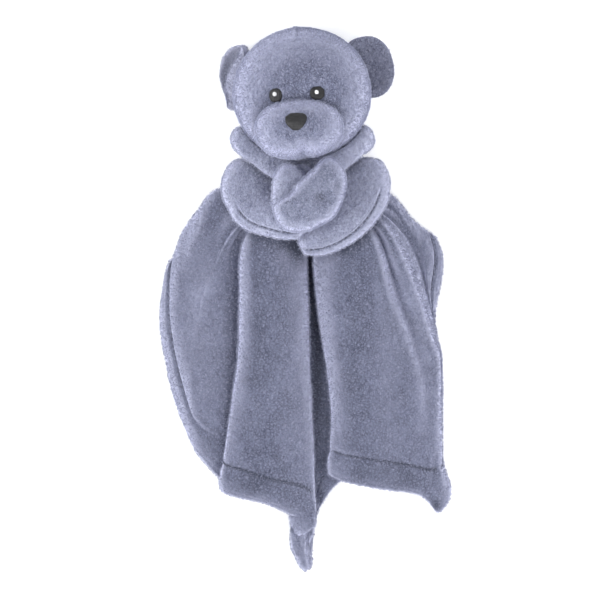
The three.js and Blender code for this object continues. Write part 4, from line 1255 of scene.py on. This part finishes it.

# Soft spots: the middle in pixels across and down, half the width and height in millimetres, and strength.
# Shaded ones are painted shade under what covers them; the others are painted light, paler patches where more
# light falls.
SHADED_PX = {
    "plush_blanket": (
        (286, 243, 13, 5, 1.0), (299, 253, 6, 9, 0.9), (436, 505, 2.6, 2.4, 1.0), (256, 360, 5, 60, 0.16),
        (352, 370, 5, 60, 0.14), (256, 488, 16, 7, 0.32), (384, 476, 22, 7, 0.34), (317, 378, 3.4, 30, 0.75),
    ),
    "plush_collar": ((303, 158, 15, 6, 0.9),),
}
PAINTED_LIGHT_PX = {
    "plush_blanket": (
        (197, 310, 20, 55, 0.2), (212, 410, 16, 40, 0.05), (420, 300, 14, 42, 0.19), (428, 400, 9, 40, 0.13),
        (288, 330, 8, 70, 0.07), (292, 450, 8, 50, 0.05), (326, 330, 8, 60, 0.1), (338, 420, 8, 40, 0.08),
        (385, 360, 9, 60, 0.12), (400, 440, 14, 30, 0.05), (302, 545, 10, 16, 0.22), (444, 490, 5, 10, 0.12),
    ),
    "plush_right_arm": ((365, 200, 22, 22, 0.2),),
    "plush_collar": ((352, 145, 14, 14, 0.42),),
    "plush_rear_paw": ((282, 185, 10, 12, 0.1),),
    "plush_front_paw": ((310, 175, 10, 10, 0.08),),
    "plush_head": ((245, 95, 10, 16, 0.16), (272, 55, 14, 10, 0.08)),
}


def spots(points, table):
    """How strongly each point, seen from above, lies in one of the soft spots of a table."""
    total = np.zeros(len(points))
    for across, down, half_width, half_height, strength in table:
        middle = np.stack([np.full(len(points), across), np.full(len(points), down), points[:, 2]], axis=1)
        off = (points - place(middle))[:, :2] / (half_width, half_height)
        total += strength * np.exp(-(off ** 2).sum(axis=1))
    return np.minimum(total, 1)


# Along a seam the pile is pressed down and darker; there, near other pieces and in the shaded spots a painted
# shade darkens it
SEAM_REACH = 0.55
seam_tree = kd_tree(seam_points)
plush_pieces = [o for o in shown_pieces() if o.name.startswith("plush_")]
for piece in plush_pieces:
    points = np.array([v.co for v in piece.data.vertices]) / MM
    # One darkness goes into the seam attribute: the seams' own and the painted shade.
    seam_and_painted_shade = np.maximum.reduce([
        bump(np.array([seam_tree.find(p)[2] for p in points]), SEAM_REACH),
        shaded.get(piece.name, np.zeros(len(points))),
        spots(points, SHADED_PX.get(piece.name, ())),
    ])
    # The painted light of the pale spots goes into an attribute of its own.
    for name, values in (("seam", seam_and_painted_shade), ("brushed", spots(points, PAINTED_LIGHT_PX.get(piece.name, ())))):
        layer = piece.data.attributes.new(name, "FLOAT", "POINT")
        layer.data.foreach_set("value", values.astype(np.float32))

# Pile: short hairs that stand up and draw together in tufts. From above they show pale tips and dark gaps;
# a slope shows them from the side, as fine streaks down it.
PILE_LENGTH, PILE_RADIUS = 1.4, 0.058
PILE_DENSITY, HIDDEN_DENSITY = 3.2, 1.0
TUFT, TUFT_LEAN, TUFT_DRAW = 2.1, 0.46, 0.48
BRUSHED, BRUSHED_LEAN = 15.0, 0.25
HAIR_LEAN = 0.12
PRESSED_BARE = 0.85
NAP = (0.06, -0.12, 0.0)
CELLS = 48
# No pile grows through the embroidery
BARE_REACH = 0.9
stitched = [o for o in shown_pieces() if o.name.startswith("stitched_")]
bare_tree = kd_tree([o.matrix_world @ v.co / MM for o in stitched for v in o.data.vertices])


def smooth_field(points, size, random):
    """Smooth random vectors that change over so many millimetres."""
    table = random.normal(size=(CELLS, CELLS, CELLS, 3))
    p = points / size
    low = np.floor(p).astype(int)
    t = p - low
    t = t * t * (3 - 2 * t)
    total = np.zeros_like(points)
    for corner in np.ndindex(2, 2, 2):
        weight = np.prod(np.where(corner, t, 1 - t), axis=1)
        total += table[tuple(((low + corner) % CELLS).T)] * weight[:, None]
    return total


def tuft_of(points, size, random):
    """The middle of the tuft that each point belongs to, and a lean that its hairs share."""
    scatter = random.random((CELLS, CELLS, CELLS, 3))
    lean_table = random.normal(size=(CELLS, CELLS, CELLS, 3))
    own = np.floor(points / size).astype(int)
    nearest = np.full(len(points), np.inf)
    middle, lean = np.zeros_like(points), np.zeros_like(points)
    for offset in np.ndindex(3, 3, 3):
        cell = own + np.array(offset) - 1
        place_in_table = tuple((cell % CELLS).T)
        candidate = (cell + scatter[place_in_table]) * size
        away = ((candidate - points) ** 2).sum(axis=1)
        closer = away < nearest
        nearest[closer] = away[closer]
        middle[closer] = candidate[closer]
        lean[closer] = lean_table[place_in_table][closer]
    return middle, lean


def sideways(vectors, normals):
    """What is left of vectors along a surface."""
    return vectors - normals * (vectors * normals).sum(axis=1, keepdims=True)


def hair_roots(piece, random):
    """Where hairs grow on a piece, and its normals there: fewest on its underside, where it is pressed and
    where painted shade darkens it.
    """
    mesh = piece.data
    points = np.array([v.co for v in mesh.vertices]) / MM
    normals = np.array([v.normal for v in mesh.vertices])
    mesh.calc_loop_triangles()
    triangles = np.array([t.vertices for t in mesh.loop_triangles])
    a, b, c = (points[triangles[:, k]] for k in range(3))
    across = np.cross(b - a, c - a)
    areas = np.linalg.norm(across, axis=1) / 2
    up = across[:, 2] / np.maximum(2 * areas, 1e-9)
    weights = areas * np.where(up > -0.25, PILE_DENSITY, HIDDEN_DENSITY)
    hairs = int(weights.sum())
    corners = triangles[random.choice(len(triangles), hairs, p=weights / weights.sum())]
    u, v = random.random((2, hairs, 1))
    u, v = np.where(u + v > 1, 1 - u, u), np.where(u + v > 1, 1 - v, v)
    # Hairs are also left out where painted shade darkens the pile, not only where a seam presses it.
    pressed = np.array([a.value for a in mesh.attributes["seam"].data])[corners].mean(axis=1)
    kept = random.random(hairs) > PRESSED_BARE * pressed
    corners, u, v = corners[kept], u[kept], v[kept]
    shares = (1 - u - v, u, v)
    root, n = (
        sum(share * values[corners[:, k]] for k, share in enumerate(shares))
        for values in (points, normals)
    )
    if piece.name in ("plush_head", "plush_muzzle"):
        grown = np.array([bare_tree.find(p)[2] >= BARE_REACH for p in root])
        root, n = root[grown], n[grown]
    return root, unit(n)


def pile(piece, seed):
    """Hairs on every face of a piece."""
    random = np.random.default_rng(seed)
    root, n = hair_roots(piece, random)
    hairs = len(root)
    middle, tuft_lean = tuft_of(root, TUFT, random)
    lean = NAP + TUFT_LEAN * tuft_lean + BRUSHED_LEAN * smooth_field(root, BRUSHED, random)
    lean = sideways(lean + HAIR_LEAN * random.normal(size=(hairs, 3)), n)
    draw = TUFT_DRAW * sideways(middle - root, n)
    length = PILE_LENGTH * (0.7 + 0.3 * random.random((hairs, 1)))
    bent = root + unit(n + 0.4 * lean) * length * 0.5 + 0.4 * draw
    tip = root + unit(n + lean) * length + draw
    curves = bpy.data.hair_curves.new(piece.name + "_pile")
    curves.add_curves([3] * hairs)
    strands = np.stack([root - 0.1 * n, bent, tip], axis=1) * MM
    curves.attributes["position"].data.foreach_set("vector", strands.astype(np.float32).reshape(-1))
    radius = curves.attributes.get("radius") or curves.attributes.new("radius", "FLOAT", "POINT")
    thickness = np.tile(np.array([1.0, 1.0, 0.4]) * PILE_RADIUS * MM, hairs)
    radius.data.foreach_set("value", thickness.astype(np.float32))
    curves.materials.append(pile_hairs[piece.data.materials[0].name])
    hair = bpy.data.objects.new(piece.name + "_pile", curves)
    bpy.context.scene.collection.objects.link(hair)
    hair.parent = piece


for number, piece in enumerate(plush_pieces):
    pile(piece, 100 + number)
